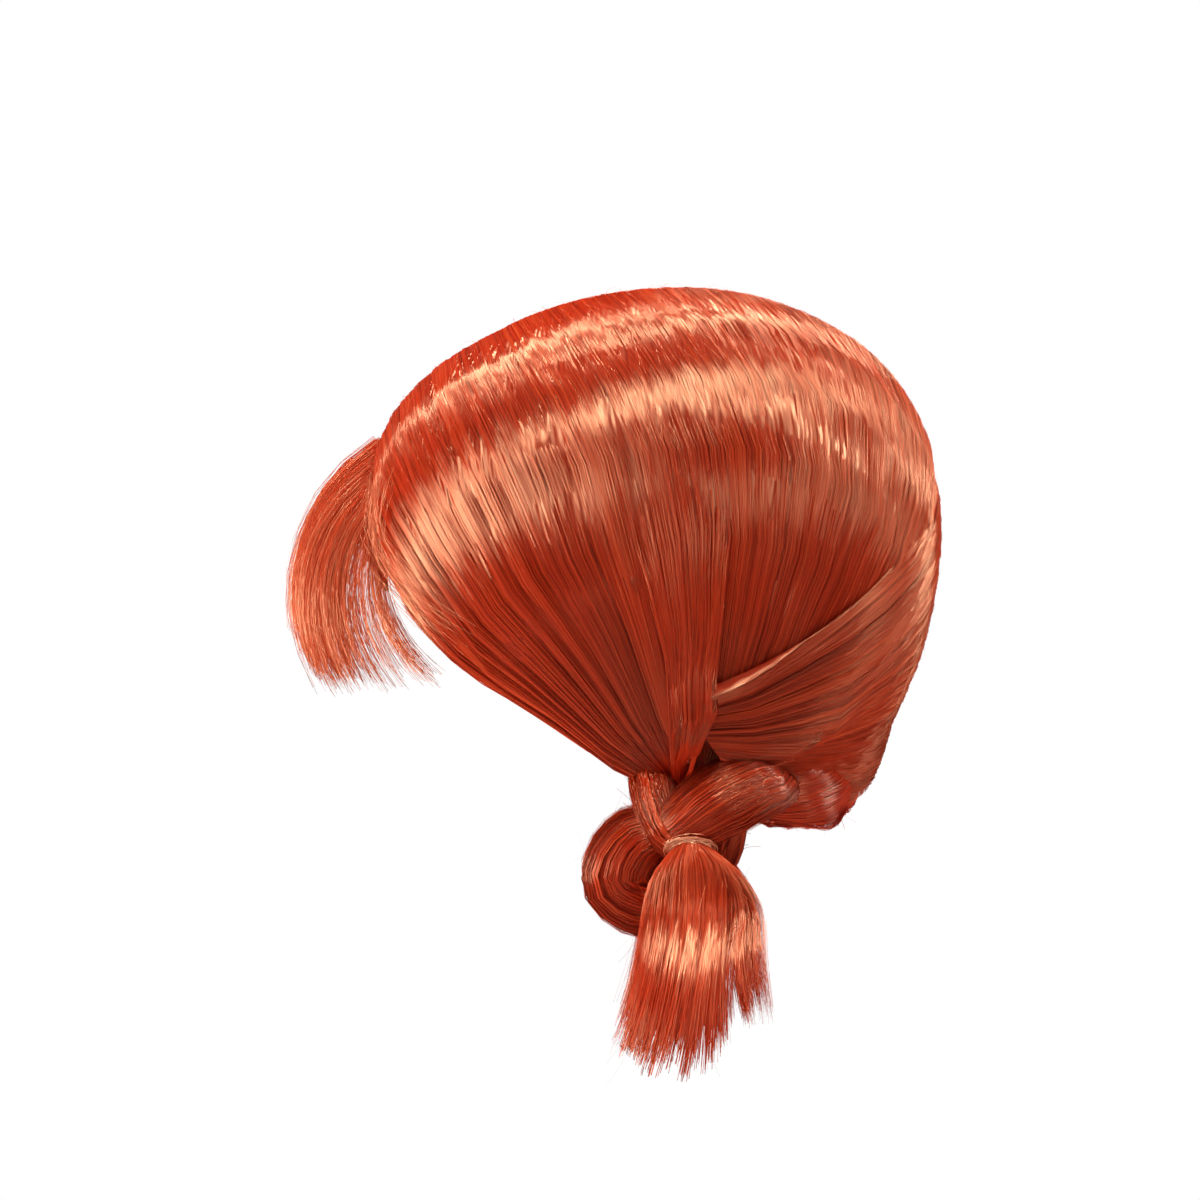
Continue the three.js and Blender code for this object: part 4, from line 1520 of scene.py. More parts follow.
@dataclass
class Fringe:
    """The bangs: fibres from the front hairline that stand off the forehead in thin locks."""

    cut: ClassVar[FibreCut] = FibreCut(0.15, 2.4, 7, flatness=0.6)
    # Painted shade: the root strip is drawn dark, as the shade under the fringe's roots.
    under_shade: ClassVar[float] = 0.2
    fibres: int = 2000
    steps: int = 8
    locks: int = 13
    wisps: int = 70
    root_deg: float = 156.0
    root_share: float = 0.31
    root_offset: float = 6.5
    tip_deg: tuple[float, float] = (199.0, 211.0)
    tip_lateral: float = 37.0
    stand_off: tuple[float, float] = (24.5, 7.0)
    bow_deg: float = 105.0
    strip: float = 0.16
    lengths: tuple[float, ...] = (1.0, 0.94, 1.03, 0.98)
    wisp_rows: Rows = ((-92.0, -62.0, 3.0), (-95.0, -84.0, 3.0), (-82.0, -107.0, 3.0), (-62.0, -124.0, 5.0))

    def points(self, side: Array, share: Array, lift: Array) -> Array:
        """Points of the fringe.

        Args:
            side: From -1 at the right temple to 1 at the left.
            share: Share of the way from the root to the tip.
            lift: Extra height over the forehead.

        Returns:
            The points.
        """
        gather_y, gather_z = SIDE_SHEET.gather_y[0], SIDE_SHEET.gather_z[0]
        gather = HEAD.side_direction(gather_y, gather_z, SIDE_SHEET.gather_offset)
        middle = HEAD.direction(self.root_deg, 0.0)
        spread = np.abs(side)
        root = slerp(middle, gather, self.root_share * spread)
        root[..., 0] *= np.sign(side)
        tip = HEAD.direction(lerp(*self.tip_deg, spread), self.tip_lateral * side)
        stand = lerp(*self.stand_off, smoothstep(spread, 0.1, 1.0))
        out = stand * np.sin(np.radians(self.bow_deg) * np.clip(share, 0, None) ** 0.9)
        return HEAD.point(slerp(root, tip, share), self.root_offset + out + lift)

    def body(self, shade: float) -> Solid:
        """The closed root strip that the fibres grow from.

        Args:
            shade: The body's tone, darker than the fibres: painted shade in the gaps between them.

        Returns:
            The body.
        """
        side = np.linspace(-0.97, 0.97, 61)[:, None]
        share = np.linspace(0.0, self.strip, 5)[None, :]
        side, share = np.broadcast_arrays(side, share)
        over = self.points(side, share, lerp(-0.6, -1.2, share / self.strip))
        under = self.points(side, share, lerp(-2.2, -1.8, share / self.strip))
        return shell(over, under, shade)

    def combed(self, rng: np.random.Generator) -> Fibres:
        """The fringe's fibres, dense in front and thin at the temples.

        Args:
            rng: Source of the random draws.

        Returns:
            The fibres.
        """
        count = self.fibres
        draw = rng.uniform(-1, 1, count)
        side = np.sign(draw) * np.interp(np.abs(draw), (0.0, 0.88, 1.0), (0.0, 0.55, 1.0))
        lock = np.floor((side + 1.0) / 2.0 * self.locks).astype(int)
        middle = (lock + 0.5) / self.locks * 2.0 - 1.0
        within = np.abs(side - middle) * self.locks
        share = np.linspace(0.0, 1.0, self.steps)
        pull = 0.45 * smoothstep(share, 0.3, 1.0)
        across = lerp(side[:, None], middle[:, None], pull)
        across = np.clip(across + rng.normal(0, 0.035, (count, 1)) * share, -1, 1)
        length = np.array(self.lengths)[lock % len(self.lengths)] * lerp(1.0, 0.86, within)
        length *= rng.uniform(0.74, 1.05, count)
        reach = length[:, None] * share
        layer = rng.normal(0.0, 1.5, (count, 1)) * lerp(1.0, 1.3, share)
        points = self.points(across, reach, layer)
        shade = np.clip(0.55 + 0.17 * rng.normal(0, 1, count), 0.1, 1.0)
        girth = rng.uniform(0.7, 1.1, (count, 1)) * lerp(1.0, 0.7, share)
        roll = np.clip(rng.normal(0.0, 0.7, count), -1.3, 1.3)
        way = unit(points - np.array(HEAD.centre))
        loose = ease_ends(self.steps, 0.3, 0)
        return Fibres(points, way, girth, shade, (side + 1) / 2, loose, roll)

    def temple_wisps(self, rng: np.random.Generator) -> Fibres:
        """Thin hairs at the left temple that curve down along the side hair's front edge.

        Args:
            rng: Source of the random draws.

        Returns:
            The fibres.
        """
        count = self.wisps
        share = np.linspace(0.0, 1.0, self.steps)
        blur = rng.normal(0.0, 1.0, (count, 2))
        spread = rng.uniform(0.5, 1.0, (count, 1))
        rows = []
        for y, z, width in self.wisp_rows:
            rows.append(np.array([y, z]) + width * blur + rng.normal(0.0, 1.2, (count, 2)))
        knots = np.stack(rows, axis=1)
        lines = np.stack([curve_through(row, share * (len(rows) - 1)) for row in knots])
        lines = lines[:, :1] + (lines - lines[:, :1]) * spread[..., None]
        offset = rng.uniform(7.0, 11.0, (count, 1)) + 0.0 * share
        way = HEAD.side_direction(lines[..., 0], lines[..., 1], 9.0)
        points = HEAD.point(way, offset)
        girth = rng.uniform(0.6, 0.9, (count, 1)) * lerp(1.0, 0.6, share)
        shade = rng.uniform(0.5, 0.95, count)
        loose = ease_ends(self.steps, 0.3, 0)
        return Fibres(points, way, girth, shade, rng.uniform(0, 1, count), loose, rng.normal(0, 0.3, count))

    def build(self, tree: FibreTree, rng: np.random.Generator) -> None:
        """Builds the fringe, dresses it, and puts it in place of its node.

        Args:
            tree: The tree that grows the fibres.
            rng: Source of the random draws.
        """
        wisps = self.temple_wisps(rng)
        sets = [self.combed(rng), wisps, wisps.on(Side.RIGHT)]
        body = self.body(self.under_shade).mesh("fringe", Side.LEFT)
        piece = tree.grow("fringe_strands", sets, body, FRINGE_GLOW_FIBRE.material(), self.cut)
        stand_in(piece, "fringe", Slot.FRINGE)


@dataclass
class Plait(SidePiece):
    """The short plait: three strands and a knot behind them, each a bundle of fibres."""

    node: ClassVar[str] = "braid"
    piece: ClassVar[str] = "braid_strands"
    cut: ClassVar[FibreCut] = FibreCut(0.28, 0.8, 5)
    finish: ClassVar[HairFinish] = PLAIT_SHADED_FIBRE
    # Painted shade: the bodies are drawn a little darker than the fibres, as the shade between them.
    under_shade: ClassVar[float] = 0.36
    front: Rows = (
        (57, 4.5, -168, 8.5, 5.5),
        (64, 6, -177, 8.8, 5.5),
        (68, 9, -186, 8, 5),
        (69, 15, -192, 6.5, 4.5),
    )
    rear: Rows = (
        (42, 46, -165, 6, 4),
        (55, 48, -169, 10, 5.5),
        (67, 41, -170.5, 12, 6.5),
        (72, 31.5, -174, 14, 6.5),
        (73, 22, -179, 13, 6),
        (70, 13.5, -185, 10, 5),
        (64, 6, -190, 7, 4.5),
    )
    loop: Rows = (
        (63, 12, -187, 8, 5),
        (63, -1, -191, 12.5, 8),
        (60, -7.5, -203.5, 14, 10),
        (57, 3, -211.5, 13, 9),
        (57, 16, -205, 9.5, 7),
        (60, 28, -194, 8, 6),
        (63, 33, -184, 5, 5),
    )
    knot: Rows = (
        (46, 20, -163, 9, 4),
        (49, 22, -171, 9.5, 5),
        (54, 19, -182, 8, 4.5),
        (60, 16, -190, 6.5, 4),
    )
    rear_out: tuple[float, float, float] = (1.0, 0.25, 0.3)
    fibres: tuple[int, ...] = (200, 260, 230, 120)
    steps: tuple[int, ...] = (8, 13, 21, 8)

    def sweeps(self, count: int) -> list[Sweep]:
        """The four strands as sections.

        Args:
            count: Number of sections of each.

        Returns:
            The front, rear, loop and knot strands.
        """
        return [
            Sweep.through(self.front, count, OUTWARD),
            Sweep.through(self.rear, count, np.array(self.rear_out)),
            Sweep.through(self.loop, count, OUTWARD),
            Sweep.through(self.knot, count, OUTWARD),
        ]

    def body(self, shade: float) -> Solid:
        """The closed bodies inside the strands."""
        return merged([sweep.body(18, 0.96, shade) for sweep in self.sweeps(26)])

    def sets(self, rng: np.random.Generator) -> list[Fibres]:
        """Fibres laid along each strand's skin, and a few that leave it.

        Args:
            rng: Source of the random draws.

        Returns:
            Two sets for each strand.
        """
        sets = []
        for i, (count, step) in enumerate(zip(self.fibres, self.steps)):
            sweep = self.sweeps(step)[i]
            sets.append(strand_fibres(sweep, count, rng, shade=0.5, twist=0.45))
            sets.append(loose_ends(sweep, 22, rng, length=14.0, lift=6.0))
        return sets


def strand_fibres(
    sweep: Sweep, count: int, rng: np.random.Generator, shade: float, twist: float, lumps: float = 0.03
) -> Fibres:
    """Fibres laid along the skin of a strand, a little twisted.

    Args:
        sweep: The strand's sections.
        count: Number of fibres.
        rng: Source of the random draws.
        shade: Their mean shade.
        twist: How far they turn round the strand on their way, in radians.
        lumps: How far the skin rises and falls, as a share of its size.

    Returns:
        The fibres.
    """
    steps = len(sweep.centre)
    share = np.linspace(0.0, 1.0, steps)
    turn = rng.uniform(0, 2 * math.pi, (count, 1)) + twist * share
    turn = turn + rng.normal(0, 0.3, (count, 1)) * share
    fill = rng.uniform(0.95, 1.03, (count, 1)) * np.ones(steps)
    fill = fill * (1.0 + lumps * np.sin(3.0 * turn + 14.0 * share))
    points = sweep.at(turn, fill)
    shades = np.clip(shade + 0.17 * rng.normal(0, 1, count), 0.05, 1.0)
    girth = rng.uniform(0.7, 1.1, (count, 1)) * np.ones(steps)
    across = np.abs((turn[:, 0] / math.pi) % 2.0 - 1.0)
    out = unit(points - sweep.centre)
    roll = rng.normal(0.0, 0.12, count)
    return Fibres(points, out, girth, shades, across, ease_ends(steps, 0.2, 0.2), roll)


def loose_ends(
    sweep: Sweep, count: int, rng: np.random.Generator, length: float, lift: float
) -> Fibres:
    """Thin stray hairs that leave a strand's skin and bend away from it.

    Args:
        sweep: The strand's sections.
        count: Number of hairs.
        rng: Source of the random draws.
        length: How far a hair runs along the strand, in millimetres.
        lift: How far its end stands off, in millimetres.

    Returns:
        The hairs.
    """
    steps = 7
    share = np.linspace(0.0, 1.0, steps)[None, :, None]
    section = rng.integers(1, len(sweep.centre) - 1, count)
    turn = rng.uniform(0, 2 * math.pi, count)
    wide, deep = sweep.wide[section], sweep.deep[section]
    out = unit(np.cos(turn)[:, None] * wide + np.sin(turn)[:, None] * deep)
    lines = np.repeat(turn[:, None], len(sweep.centre), 1)
    start = sweep.at(lines, np.full(lines.shape, 0.97))[np.arange(count), section]
    along = unit(sweep.centre[section + 1] - sweep.centre[section - 1])
    along = along * rng.choice([-1.0, 1.0], (count, 1))
    aside = np.cross(along, out) * rng.normal(0.0, 0.4, (count, 1))
    run = (unit(along + aside) * rng.uniform(0.4, 1.0, (count, 1)) * length)[:, None, :]
    rise = (out * rng.uniform(0.2, 1.0, (count, 1)) * lift)[:, None, :]
    points = start[:, None, :] + run * share + rise * share**1.6
    girth = np.full((count, steps), 0.5) * lerp(1.0, 0.7, share[0, :, 0])
    facing = np.repeat(out[:, None, :], steps, axis=1)
    shade = rng.uniform(0.5, 1.0, count)
    loose = np.linspace(0.0, 1.0, steps)
    return Fibres(points, facing, girth, shade, rng.uniform(0, 1, count), loose, rng.normal(0, 0.4, count))


@dataclass
class PlaitTie(SidePiece):
    """The thin elastic round the end of the plait, with fibres wound over it."""

    node: ClassVar[str] = "braid_tie"
    piece: ClassVar[str] = "tie_wound"
    cut: ClassVar[FibreCut] = FibreCut(0.2, 0.8, 9, flatness=0.5)
    slot: ClassVar[Slot] = Slot.TIE
    finish: ClassVar[HairFinish] = TIE_SHEEN_FIBRE
    # Painted highlight: the ring's light body goes with the wound fibres' peach tones.
    under_shade: ClassVar[float] = 0.6
    centre: tuple[float, float, float] = (73.5, 18.0, -192.5)
    half_length: float = 7.6
    half_depth: float = 5.6
    wire: float = 0.8
    lean_deg: float = 35.0
    sections: int = 28
    wire_sides: int = 8
    fibres: int = 44
    steps: int = 18

    def sets(self, rng: np.random.Generator) -> list[Fibres]:
        """The wound fibres."""
        return [self.wound(rng)]

    def ring(self, turn: Array, round_wire: Array, wire: Array) -> Array:
        """Points on a ring round the tie.

        Args:
            turn: Angles round the plait, in radians.
            round_wire: Angles round the wire, in radians.
            wire: Distance from the wire's middle.

        Returns:
            The points.
        """
        lean = math.radians(self.lean_deg)
        out = np.array([math.cos(lean), 0.0, math.sin(lean)])
        back = np.array([0.0, 1.0, 0.0])
        up = np.array([-math.sin(lean), 0.0, math.cos(lean)])
        reach = wire * np.cos(round_wire)
        deep = ((self.half_depth + reach) * np.cos(turn))[..., None] * out
        long = ((self.half_length + reach) * np.sin(turn))[..., None] * back
        return np.array(self.centre) + deep + long + (wire * np.sin(round_wire))[..., None] * up

    def body(self, shade: float) -> Solid:
        """The closed ring under the fibres.

        Args:
            shade: The body's tone, drawn light to go with the wound fibres' painted highlight.

        Returns:
            The body.
        """
        steps, sides = self.sections, self.wire_sides
        turn = np.linspace(0, 2 * math.pi, steps, endpoint=False)[:, None]
        round_wire = np.linspace(0, 2 * math.pi, sides, endpoint=False)[None, :]
        turn, round_wire = np.broadcast_arrays(turn, round_wire)
        places = self.ring(turn, round_wire, np.full(turn.shape, self.wire))
        index = np.arange(steps * sides).reshape(steps, sides)
        after, beside = np.roll(index, -1, axis=0), np.roll(index, -1, axis=1)
        both = np.roll(after, -1, axis=1)
        quads = np.stack([index, after, both, beside], axis=-1).reshape(-1, 4)
        faces = [tuple(int(i) for i in quad) for quad in quads]
        aside = unit(np.roll(places, -1, axis=1) - np.roll(places, 1, axis=1)).reshape(-1, 3)
        share = (turn / (2 * math.pi)).ravel()
        return Solid(places.reshape(-1, 3), faces, (round_wire / 7.0).ravel(), share, aside, shade)

    def wound(self, rng: np.random.Generator) -> Fibres:
        """Fibres that run round the ring, each a little askew.

        Args:
            rng: Source of the random draws.

        Returns:
            The fibres.
        """
        count = self.fibres
        share = np.linspace(0.0, 1.0, self.steps)
        turn = rng.uniform(0, 2 * math.pi, (count, 1)) + rng.uniform(2.0, 5.0, (count, 1)) * share
        skew = rng.uniform(0, 2 * math.pi, (count, 1)) + rng.normal(0.0, 2.0, (count, 1)) * share
        wire = rng.uniform(0.8, 2.2, (count, 1)) * lerp(1.0, 1.3, share)
        points = self.ring(turn, skew, wire)
        out = unit(points - self.ring(turn, skew, 0.0 * wire))
        girth = rng.uniform(0.7, 1.1, (count, 1)) + 0.0 * share
        shade = rng.uniform(0.5, 1.0, count)
        return Fibres(points, out, girth, shade, rng.uniform(0, 1, count), 0.4 + 0.0 * share, 0.0 * shade)


@dataclass
class Tuft(SidePiece):
    """The loose brush of hair below the tie, which fans out, flares and ends unevenly.

    The values by fan give its outline from the front edge to the rear edge, where a gap parts
    the rear lock from the rest. The core is the body inside the brush, and strays leave the hull.
    """

    node: ClassVar[str] = "tuft"
    piece: ClassVar[str] = "tuft_brush"
    cut: ClassVar[FibreCut] = FibreCut(0.16, 1.8, 6, flatness=0.2)
    slot: ClassVar[Slot] = Slot.TUFT
    finish: ClassVar[HairFinish] = TUFT_LIT_FIBRE
    # Painted shade: the nearly black body stands for the shade deep inside the brush.
    under_shade: ClassVar[float] = 0.1
    fan: tuple[float, ...] = (0.0, 0.2, 0.4, 0.6, 0.79, 0.82, 1.0)
    waist_y: tuple[float, ...] = (-3.0, 4.0, 12.0, 20.0, 28.0, 33.5, 44.5)
    tip_y: tuple[float, ...] = (-10.5, -3.5, 4.0, 15.0, 28.0, 37.0, 46.0)
    tip_z: tuple[float, ...] = (-262.0, -272.0, -278.0, -276.0, -268.0, -255.0, -251.0)
    neck_y: tuple[float, float] = (13.5, 22.5)
    shoulder_y: tuple[float, float] = (4.5, 35.5)
    hip_y: tuple[float, ...] = (0.5, 9.0, 17.0, 24.5, 30.5, 34.5, 43.0)
    levels: tuple[float, ...] = (-190.0, -201.0, -213.0)
    waist: float = 0.52
    ripple: float = 5.0
    dome: float = 4.0
    front_x: tuple[float, ...] = (79.5, 81.5, 79.0, 97.5, 99.0)
    rear_x: tuple[float, ...] = (70.0, 69.0, 68.0, 68.0, 70.0)
    core: Rows = (
        (72, 18, -193, 6, 4),
        (72.5, 20, -203, 12, 4.5),
        (69.5, 21, -215, 15, 4.5),
        (74, 15, -236, 11, 5),
        (79, 9, -254, 7, 3),
    )
    hull: Rows = (
        (75, 18, -196, 9, 6),
        (77, 21, -215, 20, 10),
        (80, 14, -245, 20, 9),
        (82, 10, -268, 14, 7),
    )
    fibres: int = 1560
    clumps: int = 17
    steps: int = 9

    def sets(self, rng: np.random.Generator) -> list[Fibres]:
        """The brush, and then the strays round it."""
        return [self.combed(rng), self.strays(rng)]

    def line(self, fan: Array, depth: Array, share: Array) -> Array:
        """Lines of the brush from the tie to their tips.

        Args:
            fan: Shares from the front edge to the rear edge, one a line.
            depth: From -1 on the inner face to 1 on the outer one, one a line.
            share: Shares of the way to the tip, by line and step.

        Returns:
            The points, by line and step.
        """
        ys = [
            lerp(*self.neck_y, fan),
            lerp(*self.shoulder_y, fan),
            np.interp(fan, self.fan, self.hip_y),
            np.interp(fan, self.fan, self.waist_y),
            np.interp(fan, self.fan, self.tip_y),
        ]
        zs = [np.full(fan.shape, level) for level in self.levels]
        tips = np.interp(fan, self.fan, self.tip_z)
        zs.append(lerp(zs[-1], tips, self.waist) + self.ripple * np.sin(37.0 * fan + 11.0 * depth))
        zs.append(tips)
        middle = (depth + 1.0) / 2.0
        zs[1] = zs[1] + self.dome * (1.0 - (2.0 * fan - 1.0) ** 2) * middle
        xs = [lerp(rear, front, middle) for rear, front in zip(self.rear_x, self.front_x)]
        knots = np.stack([np.stack(xs, -1), np.stack(ys, -1), np.stack(zs, -1)], axis=-1)
        return np.stack(
            [curve_through(row, place * (len(xs) - 1)) for row, place in zip(knots, share)]
        )

    def body(self, shade: float) -> Solid:
        """The closed body inside the brush."""
        return Sweep.through(self.core, 14, OUTWARD).body(18, 0.9, shade)

    def combed(self, rng: np.random.Generator) -> Fibres:
        """The brush's fibres, gathered in small clumps at their tips.

        Args:
            rng: Source of the random draws.

        Returns:
            The fibres.
        """
        count = self.fibres
        turn = rng.uniform(-0.3 * math.pi, 1.3 * math.pi, count)
        radius = np.sqrt(rng.uniform(0.45, 1.0, count))
        fan = 0.5 + 0.5 * radius * np.cos(turn)
        depth = radius * np.sin(turn)
        clump = np.floor(fan * self.clumps).astype(int)
        middle = (clump + 0.5) / self.clumps
        bits = rng.uniform(0.0, 1.0, self.clumps + 1)
        ends = (0.91 + 0.09 * bits[clump]) * rng.uniform(0.86, 1.02, count)
        share = np.minimum(np.linspace(0.0, 1.0, self.steps) * ends[:, None], 1.0)
        loose_lines = self.line(fan, depth, share)
        held_lines = self.line(np.clip(middle, 0.0, 1.0), depth, share)
        pull = 0.6 * smoothstep(share, 0.45, 1.0)[..., None]
        points = lerp(loose_lines, held_lines, pull)
        stray = np.clip(rng.normal(0.0, 1.5, (count, 1, 3)), -2.0, 2.0)
        points = points + stray * smoothstep(share, 0.4, 1.0)[..., None]
        core = self.line(np.full(count, 0.5), np.zeros(count), share)
        out = unit((points - core) * np.array([1.6, 1.0, 0.15]) + np.array([4.0, 0.0, 0.0]))
        shade = np.clip(0.5 + 0.16 * rng.normal(0, 1, count), 0.05, 1.0)
        along = np.linspace(0, 1, self.steps)
        girth = rng.uniform(0.7, 1.1, (count, 1)) * lerp(1.0, 0.9, along)
        roll = rng.normal(0.0, 0.12, count)
        return Fibres(points, out, girth, shade, fan, ease_ends(self.steps, 0.5, 0), roll)

    def strays(self, rng: np.random.Generator) -> Fibres:
        """Thin hairs that stand off the brush."""
        sweep = Sweep.through(self.hull, 12, OUTWARD)
        return loose_ends(sweep, 46, rng, length=18.0, lift=7.0)


@dataclass
class NapeRoll:
    """The rolled nape hair between the two plaits."""

    cut: ClassVar[FibreCut] = FibreCut(0.2, 1.2, 8)
    # Painted shade: the body is drawn dark, as the shade inside the roll.
    under_shade: ClassVar[float] = 0.2
    half: Rows = (
        (53, 37, -172, 6, 8),
        (49, 50, -175, 7.5, 10.5),
        (36, 63, -176, 7.5, 10.5),
        (14, 69, -175, 7, 9.5),
        (0, 70, -174, 7, 9),
    )
    fibres: int = 330

    def sweep(self, count: int) -> Sweep:
        """The roll's sections, from the left plait to the right one."""
        right = tuple((-row[0], *row[1:]) for row in self.half[:-1])
        return Sweep.through(self.half + right[::-1], count, np.array([0.0, 0.35, 1.0]))

    def build(self, tree: FibreTree, rng: np.random.Generator) -> None:
        """Builds the roll, dresses it, and puts it in place of its node.

        Args:
            tree: The tree that grows the fibres.
            rng: Source of the random draws.
        """
        sweep = self.sweep(19)
        # Painted shade: the roll's fibres are drawn darker than the combed hair, for the shade under the
        # back hair.
        wound = strand_fibres(sweep, self.fibres, rng, shade=0.4, twist=5.0, lumps=0.14)
        sets = [wound, loose_ends(sweep, 40, rng, length=12.0, lift=5.0)]
        body = sweep.body(18, 0.86, self.under_shade).mesh("nape", Side.LEFT)
        piece = tree.grow("nape_roll_strands", sets, body, NAPE_FIBRE.material(), self.cut)
        stand_in(piece, "nape_roll", Slot.HAIR)


def merged(solids: list[Solid]) -> Solid:
    """Several bodies as one set of points and faces.

    Args:
        solids: The bodies, of one shade.

    Returns:
        All of them in one.
    """
    faces: list[tuple[int, ...]] = []
    first = 0
    for one in solids:
        faces += [tuple(i + first for i in face) for face in one.faces]
        first += len(one.places)
    return Solid(
        np.concatenate([one.places for one in solids]),
        faces,
        np.concatenate([one.across for one in solids]),
        np.concatenate([one.along for one in solids]),
        np.concatenate([one.aside for one in solids]),
        solids[0].shade,
    )


@dataclass(frozen=True)
class PlainFinish:
    """A plain procedural finish with a fine mottled relief."""

    name: str
    colour: Colour
    roughness: float
    grain: float = 900.0
    relief: float = 0.3
    specular: float = 0.4
    mottle: float = 0.2
    rough_spread: float = 0.15
    grain_depth: float = 0.2

    def material(self) -> bpy.types.Material:
        """Builds the material on object coordinates.

        Returns:
            The material.
        """
        material = bpy.data.materials.new(self.name)
        material.use_nodes = True
        sheet = NodeSheet(material.node_tree)
        shader = material.node_tree.nodes["Principled BSDF"]
        shader.inputs["Specular IOR Level"].default_value = self.specular
        place = sheet.add("ShaderNodeTexCoord")
        noise = sheet.add("ShaderNodeTexNoise")
        noise.inputs["Scale"].default_value = self.grain
        noise.inputs["Detail"].default_value = 4.0
        sheet.link(place.outputs["Object"], noise.inputs["Vector"])
        tint = sheet.add("ShaderNodeMix", data_type="RGBA")
        tint.inputs[6].default_value = opaque(tuple((1.0 - self.mottle) * c for c in self.colour))
        tint.inputs[7].default_value = opaque(
            tuple(min(1.0, (1.0 + self.mottle) * c) for c in self.colour)
        )
        sheet.link(noise.outputs["Fac"], tint.inputs[0])
        sheet.link(tint.outputs[2], shader.inputs["Base Color"])
        rough = sheet.math("MULTIPLY_ADD", noise.outputs["Fac"], self.rough_spread, self.roughness)
        sheet.link(rough, shader.inputs["Roughness"])
        normal = sheet.bump(noise.outputs["Fac"], self.relief, self.grain_depth)
        sheet.link(normal, shader.inputs["Normal"])
        return material


@dataclass
class Cap:
    """The fitted cap, which keeps its solid and is finished in place."""

    node: str = "cap"
    finish: PlainFinish = PlainFinish("cap_net", (0.12, 0.035, 0.02), 0.8)

    def dress(self) -> None:
        """Gives the cap's own mesh its finish."""
        mesh = frame["nodes"][self.node].data
        mesh.materials.clear()
        mesh.materials.append(self.finish.material())
        LOG.info("%s: finished in place", self.node)


@dataclass(frozen=True)
class SoftBox:
    """A soft box that faces the wig's middle, with lengths in millimetres.

    Its elevation is in degrees up from the camera's side, past 90 on the far side. Its swing is
    in degrees towards the back of the wig. Its size is its length along the wig and its width.
    A box that doesn't shine only fills, and glossy finishes don't show it.
    """

    name: str
    elevation: float
    swing: float
    reach: float
    size: tuple[float, float]
    watts: float
    shines: bool = True
    middle: tuple[float, float, float] = (0.0, 0.0, -90.0)

    def hang(self) -> None:
        """Adds the box to the scene."""
        data = bpy.data.lights.new(self.name, "AREA")
        data.shape = "RECTANGLE"
        data.size = self.size[0] * MM
        data.size_y = self.size[1] * MM
        data.energy = self.watts
        up, aside = math.radians(self.elevation), math.radians(self.swing)
        way = Vector((math.cos(up) * math.cos(aside), math.sin(aside), math.sin(up) * math.cos(aside)))
        lamp = bpy.data.objects.new(self.name, data)
        lamp.visible_glossy = self.shines
        lamp.location = (Vector(self.middle) + way * self.reach) * MM
        back = way.normalized()
        along = Vector((0.0, 1.0, 0.0))
        along = (along - back * along.dot(back)).normalized()
        upward = back.cross(along)
        lamp.rotation_euler = Matrix((along, upward, back)).transposed().to_euler()
        bpy.context.scene.collection.objects.link(lamp)


@dataclass(frozen=True)
class Spot:
    """A narrow spot that lights one place only, with lengths in millimetres."""

    name: str
    aim: tuple[float, float, float]
    elevation: float
    reach: float
    beam_deg: float
    watts: float
    blend: float = 0.6
    radius: float = 40.0

    def hang(self) -> None:
        """Adds the spot to the scene."""
        data = bpy.data.lights.new(self.name, "SPOT")
        data.spot_size = math.radians(self.beam_deg)
        data.spot_blend = self.blend
        data.shadow_soft_size = self.radius * MM
        data.energy = self.watts
        up = math.radians(self.elevation)
        way = Vector((math.cos(up), 0.0, math.sin(up)))
        lamp = bpy.data.objects.new(self.name, data)
        lamp.location = (Vector(self.aim) + way * self.reach) * MM
        lamp.rotation_euler = way.to_track_quat("Z", "Y").to_euler()
        bpy.context.scene.collection.objects.link(lamp)


LAMPS = (
    SoftBox("upper_band_box", 102.0, 4.0, 1500.0, (250.0, 110.0), 6.5),
    SoftBox("upper_front_box", 107.0, -15.0, 1500.0, (250.0, 110.0), 4.0),
    SoftBox("upper_rear_box", 130.0, 24.0, 1500.0, (350.0, 200.0), 6.5),
    SoftBox("brow_box", 115.0, -36.0, 1500.0, (250.0, 150.0), 3.5),
    SoftBox("lower_band_box", 69.0, 11.0, 1600.0, (300.0, 280.0), 4.8),
    SoftBox("lower_front_box", 59.0, -6.0, 1600.0, (300.0, 280.0), 5.0),
    SoftBox("rear_box", 84.0, 44.0, 1600.0, (300.0, 250.0), 5.0),
    SoftBox("back_box", 140.0, 63.0, 1600.0, (300.0, 300.0), 6.0),
    SoftBox("low_front_box", 22.0, -42.0, 1800.0, (500.0, 300.0), 2.4),
    SoftBox("far_rim_box", 158.0, 0.0, 1600.0, (800.0, 200.0), 6.0),
    SoftBox("rear_low_box", 38.0, 64.0, 1700.0, (600.0, 500.0), 2.8),
    SoftBox("face_box", 0.0, -88.0, 1800.0, (700.0, 700.0), 20.0),
    SoftBox("plait_fill", -43.0, 4.0, 480.0, (200.0, 200.0), 0.15, shines=False),
    SoftBox("fringe_fill", 10.0, -60.0, 1800.0, (700.0, 700.0), 6.5, shines=False),
    SoftBox("back_fill", 12.0, 50.0, 1800.0, (700.0, 700.0), 1.8, shines=False),
    Spot("tuft_spot", (90.0, 14.0, -238.0), 60.0, 1500.0, 4.6, 54.0),
)


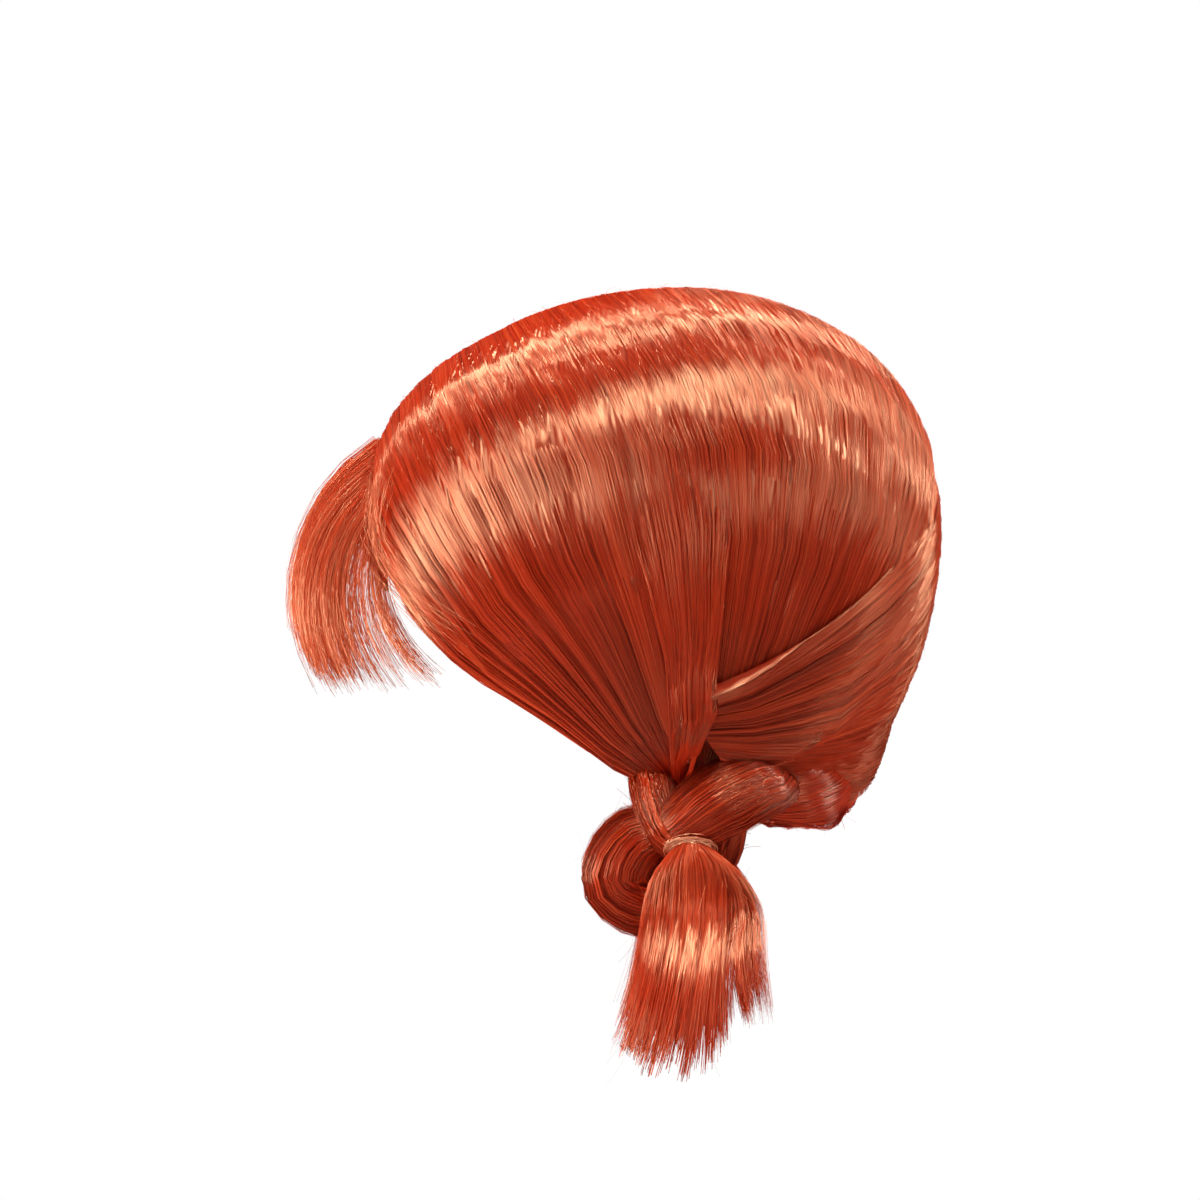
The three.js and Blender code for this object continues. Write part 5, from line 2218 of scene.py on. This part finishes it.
@dataclass
class Studio:
    """The camera at the photograph's angle, the lights, a pale surround, and a plain floor."""

    picture: int = 1200
    mm_per_pixel: float = 0.355
    sensor: float = 36.0
    sight: float = 100.0
    centre_y: float = -14.2
    centre_z: float = -104.7
    plane_x: float = 40.0
    distance: float = 5000.0
    dim: float = 0.04
    floor_z: float = -800.0
    floor_radius: float = 9000.0
    floor_sides: int = 96
    floor_glow: float = 0.8

    def camera(self) -> None:
        """Sets up a long lens level with the wig's middle, on the wearer's left."""
        data = bpy.data.cameras.new("camera")
        data.sensor_fit = "HORIZONTAL"
        data.sensor_width = self.sensor
        data.lens = self.sensor * self.distance / (self.picture * self.mm_per_pixel)
        data.clip_end = self.sight
        camera = bpy.data.objects.new("camera", data)
        camera.location = Vector((self.plane_x + self.distance, self.centre_y, self.centre_z)) * MM
        camera.rotation_euler = (math.pi / 2, 0.0, math.pi / 2)
        bpy.context.scene.collection.objects.link(camera)
        bpy.context.scene.camera = camera

    def lights(self) -> None:
        """Hangs compact boxes for the bands of shine and the rims, fills, and a spot on the tuft."""
        for lamp in LAMPS:
            lamp.hang()

    def surround(self) -> None:
        """Makes a surround that is white to the camera and dim as a light."""
        world = bpy.data.worlds.new("surround")
        world.use_nodes = True
        sheet = NodeSheet(world.node_tree)
        glow = world.node_tree.nodes["Background"]
        seen = sheet.add("ShaderNodeLightPath").outputs["Is Camera Ray"]
        sheet.link(sheet.math("MULTIPLY_ADD", seen, 1.0 - self.dim, self.dim), glow.inputs["Strength"])
        glow.inputs["Color"].default_value = (1.0, 1.0, 1.0, 1.0)
        bpy.context.scene.world = world

    def floor(self) -> None:
        """Lays a round floor well below the wig, with a glow that only the camera sees."""
        turn = np.linspace(0.0, 2.0 * math.pi, self.floor_sides, endpoint=False)
        ring = np.stack([np.cos(turn), np.sin(turn), 0.0 * turn], axis=-1) * self.floor_radius
        ring[:, 2] = self.floor_z
        mesh = bpy.data.meshes.new("floor")
        mesh.from_pydata((ring * MM).tolist(), [], [tuple(range(len(ring)))])
        floor = bpy.data.objects.new("floor", mesh)
        floor.visible_glossy = False
        bpy.context.scene.collection.objects.link(floor)
        finish = PlainFinish("pale_floor", (0.8, 0.8, 0.8), 0.8, grain=6.0, relief=0.02, specular=0.1)
        material = finish.material()
        sheet = NodeSheet(material.node_tree)
        shader = material.node_tree.nodes["Principled BSDF"]
        shader.inputs["Emission Color"].default_value = opaque(finish.colour)
        seen = sheet.add("ShaderNodeLightPath").outputs["Is Camera Ray"]
        sheet.link(sheet.math("MULTIPLY", seen, self.floor_glow), shader.inputs["Emission Strength"])
        mesh.materials.append(material)


def main() -> None:
    """Builds the pieces in order, reports each, and notes the sizes."""
    logging.basicConfig(level=logging.INFO, format="%(name)s: %(message)s")
    bpy.context.scene.view_settings.view_transform = "Standard"
    studio = Studio()
    studio.camera()
    studio.lights()
    studio.surround()
    studio.floor()
    tree = FibreTree()
    side_hair = SideHair(
        sheet=SIDE_SHEET,
        locks=LockPattern.uneven(24, 11),
        lock_depth=1.9,
        strands=LockPattern.uneven(150, 12),
        fibres=2900,
        strays=90,
        swept=0.13,
    )
    back_hair = BackHair(
        sheet=BACK_SHEET,
        locks=LockPattern.uneven(11, 5),
        lock_depth=1.4,
        strands=LockPattern.uneven(60, 6),
        fibres=1550,
        strays=40,
        droop=6.0,
    )
    both_sides = (side_hair, back_hair, EarLock(), Plait(), Tuft(), PlaitTie())
    for side in Side:
        rng = np.random.default_rng(SIDE_SEED + side.value)
        for one in both_sides:
            one.build(side, tree, rng)
    rng = np.random.default_rng(MIDDLE_SEED)
    Fringe().build(tree, rng)
    NapeRoll().build(tree, rng)
    Cap().dress()


if __name__ == "__main__":
    main()
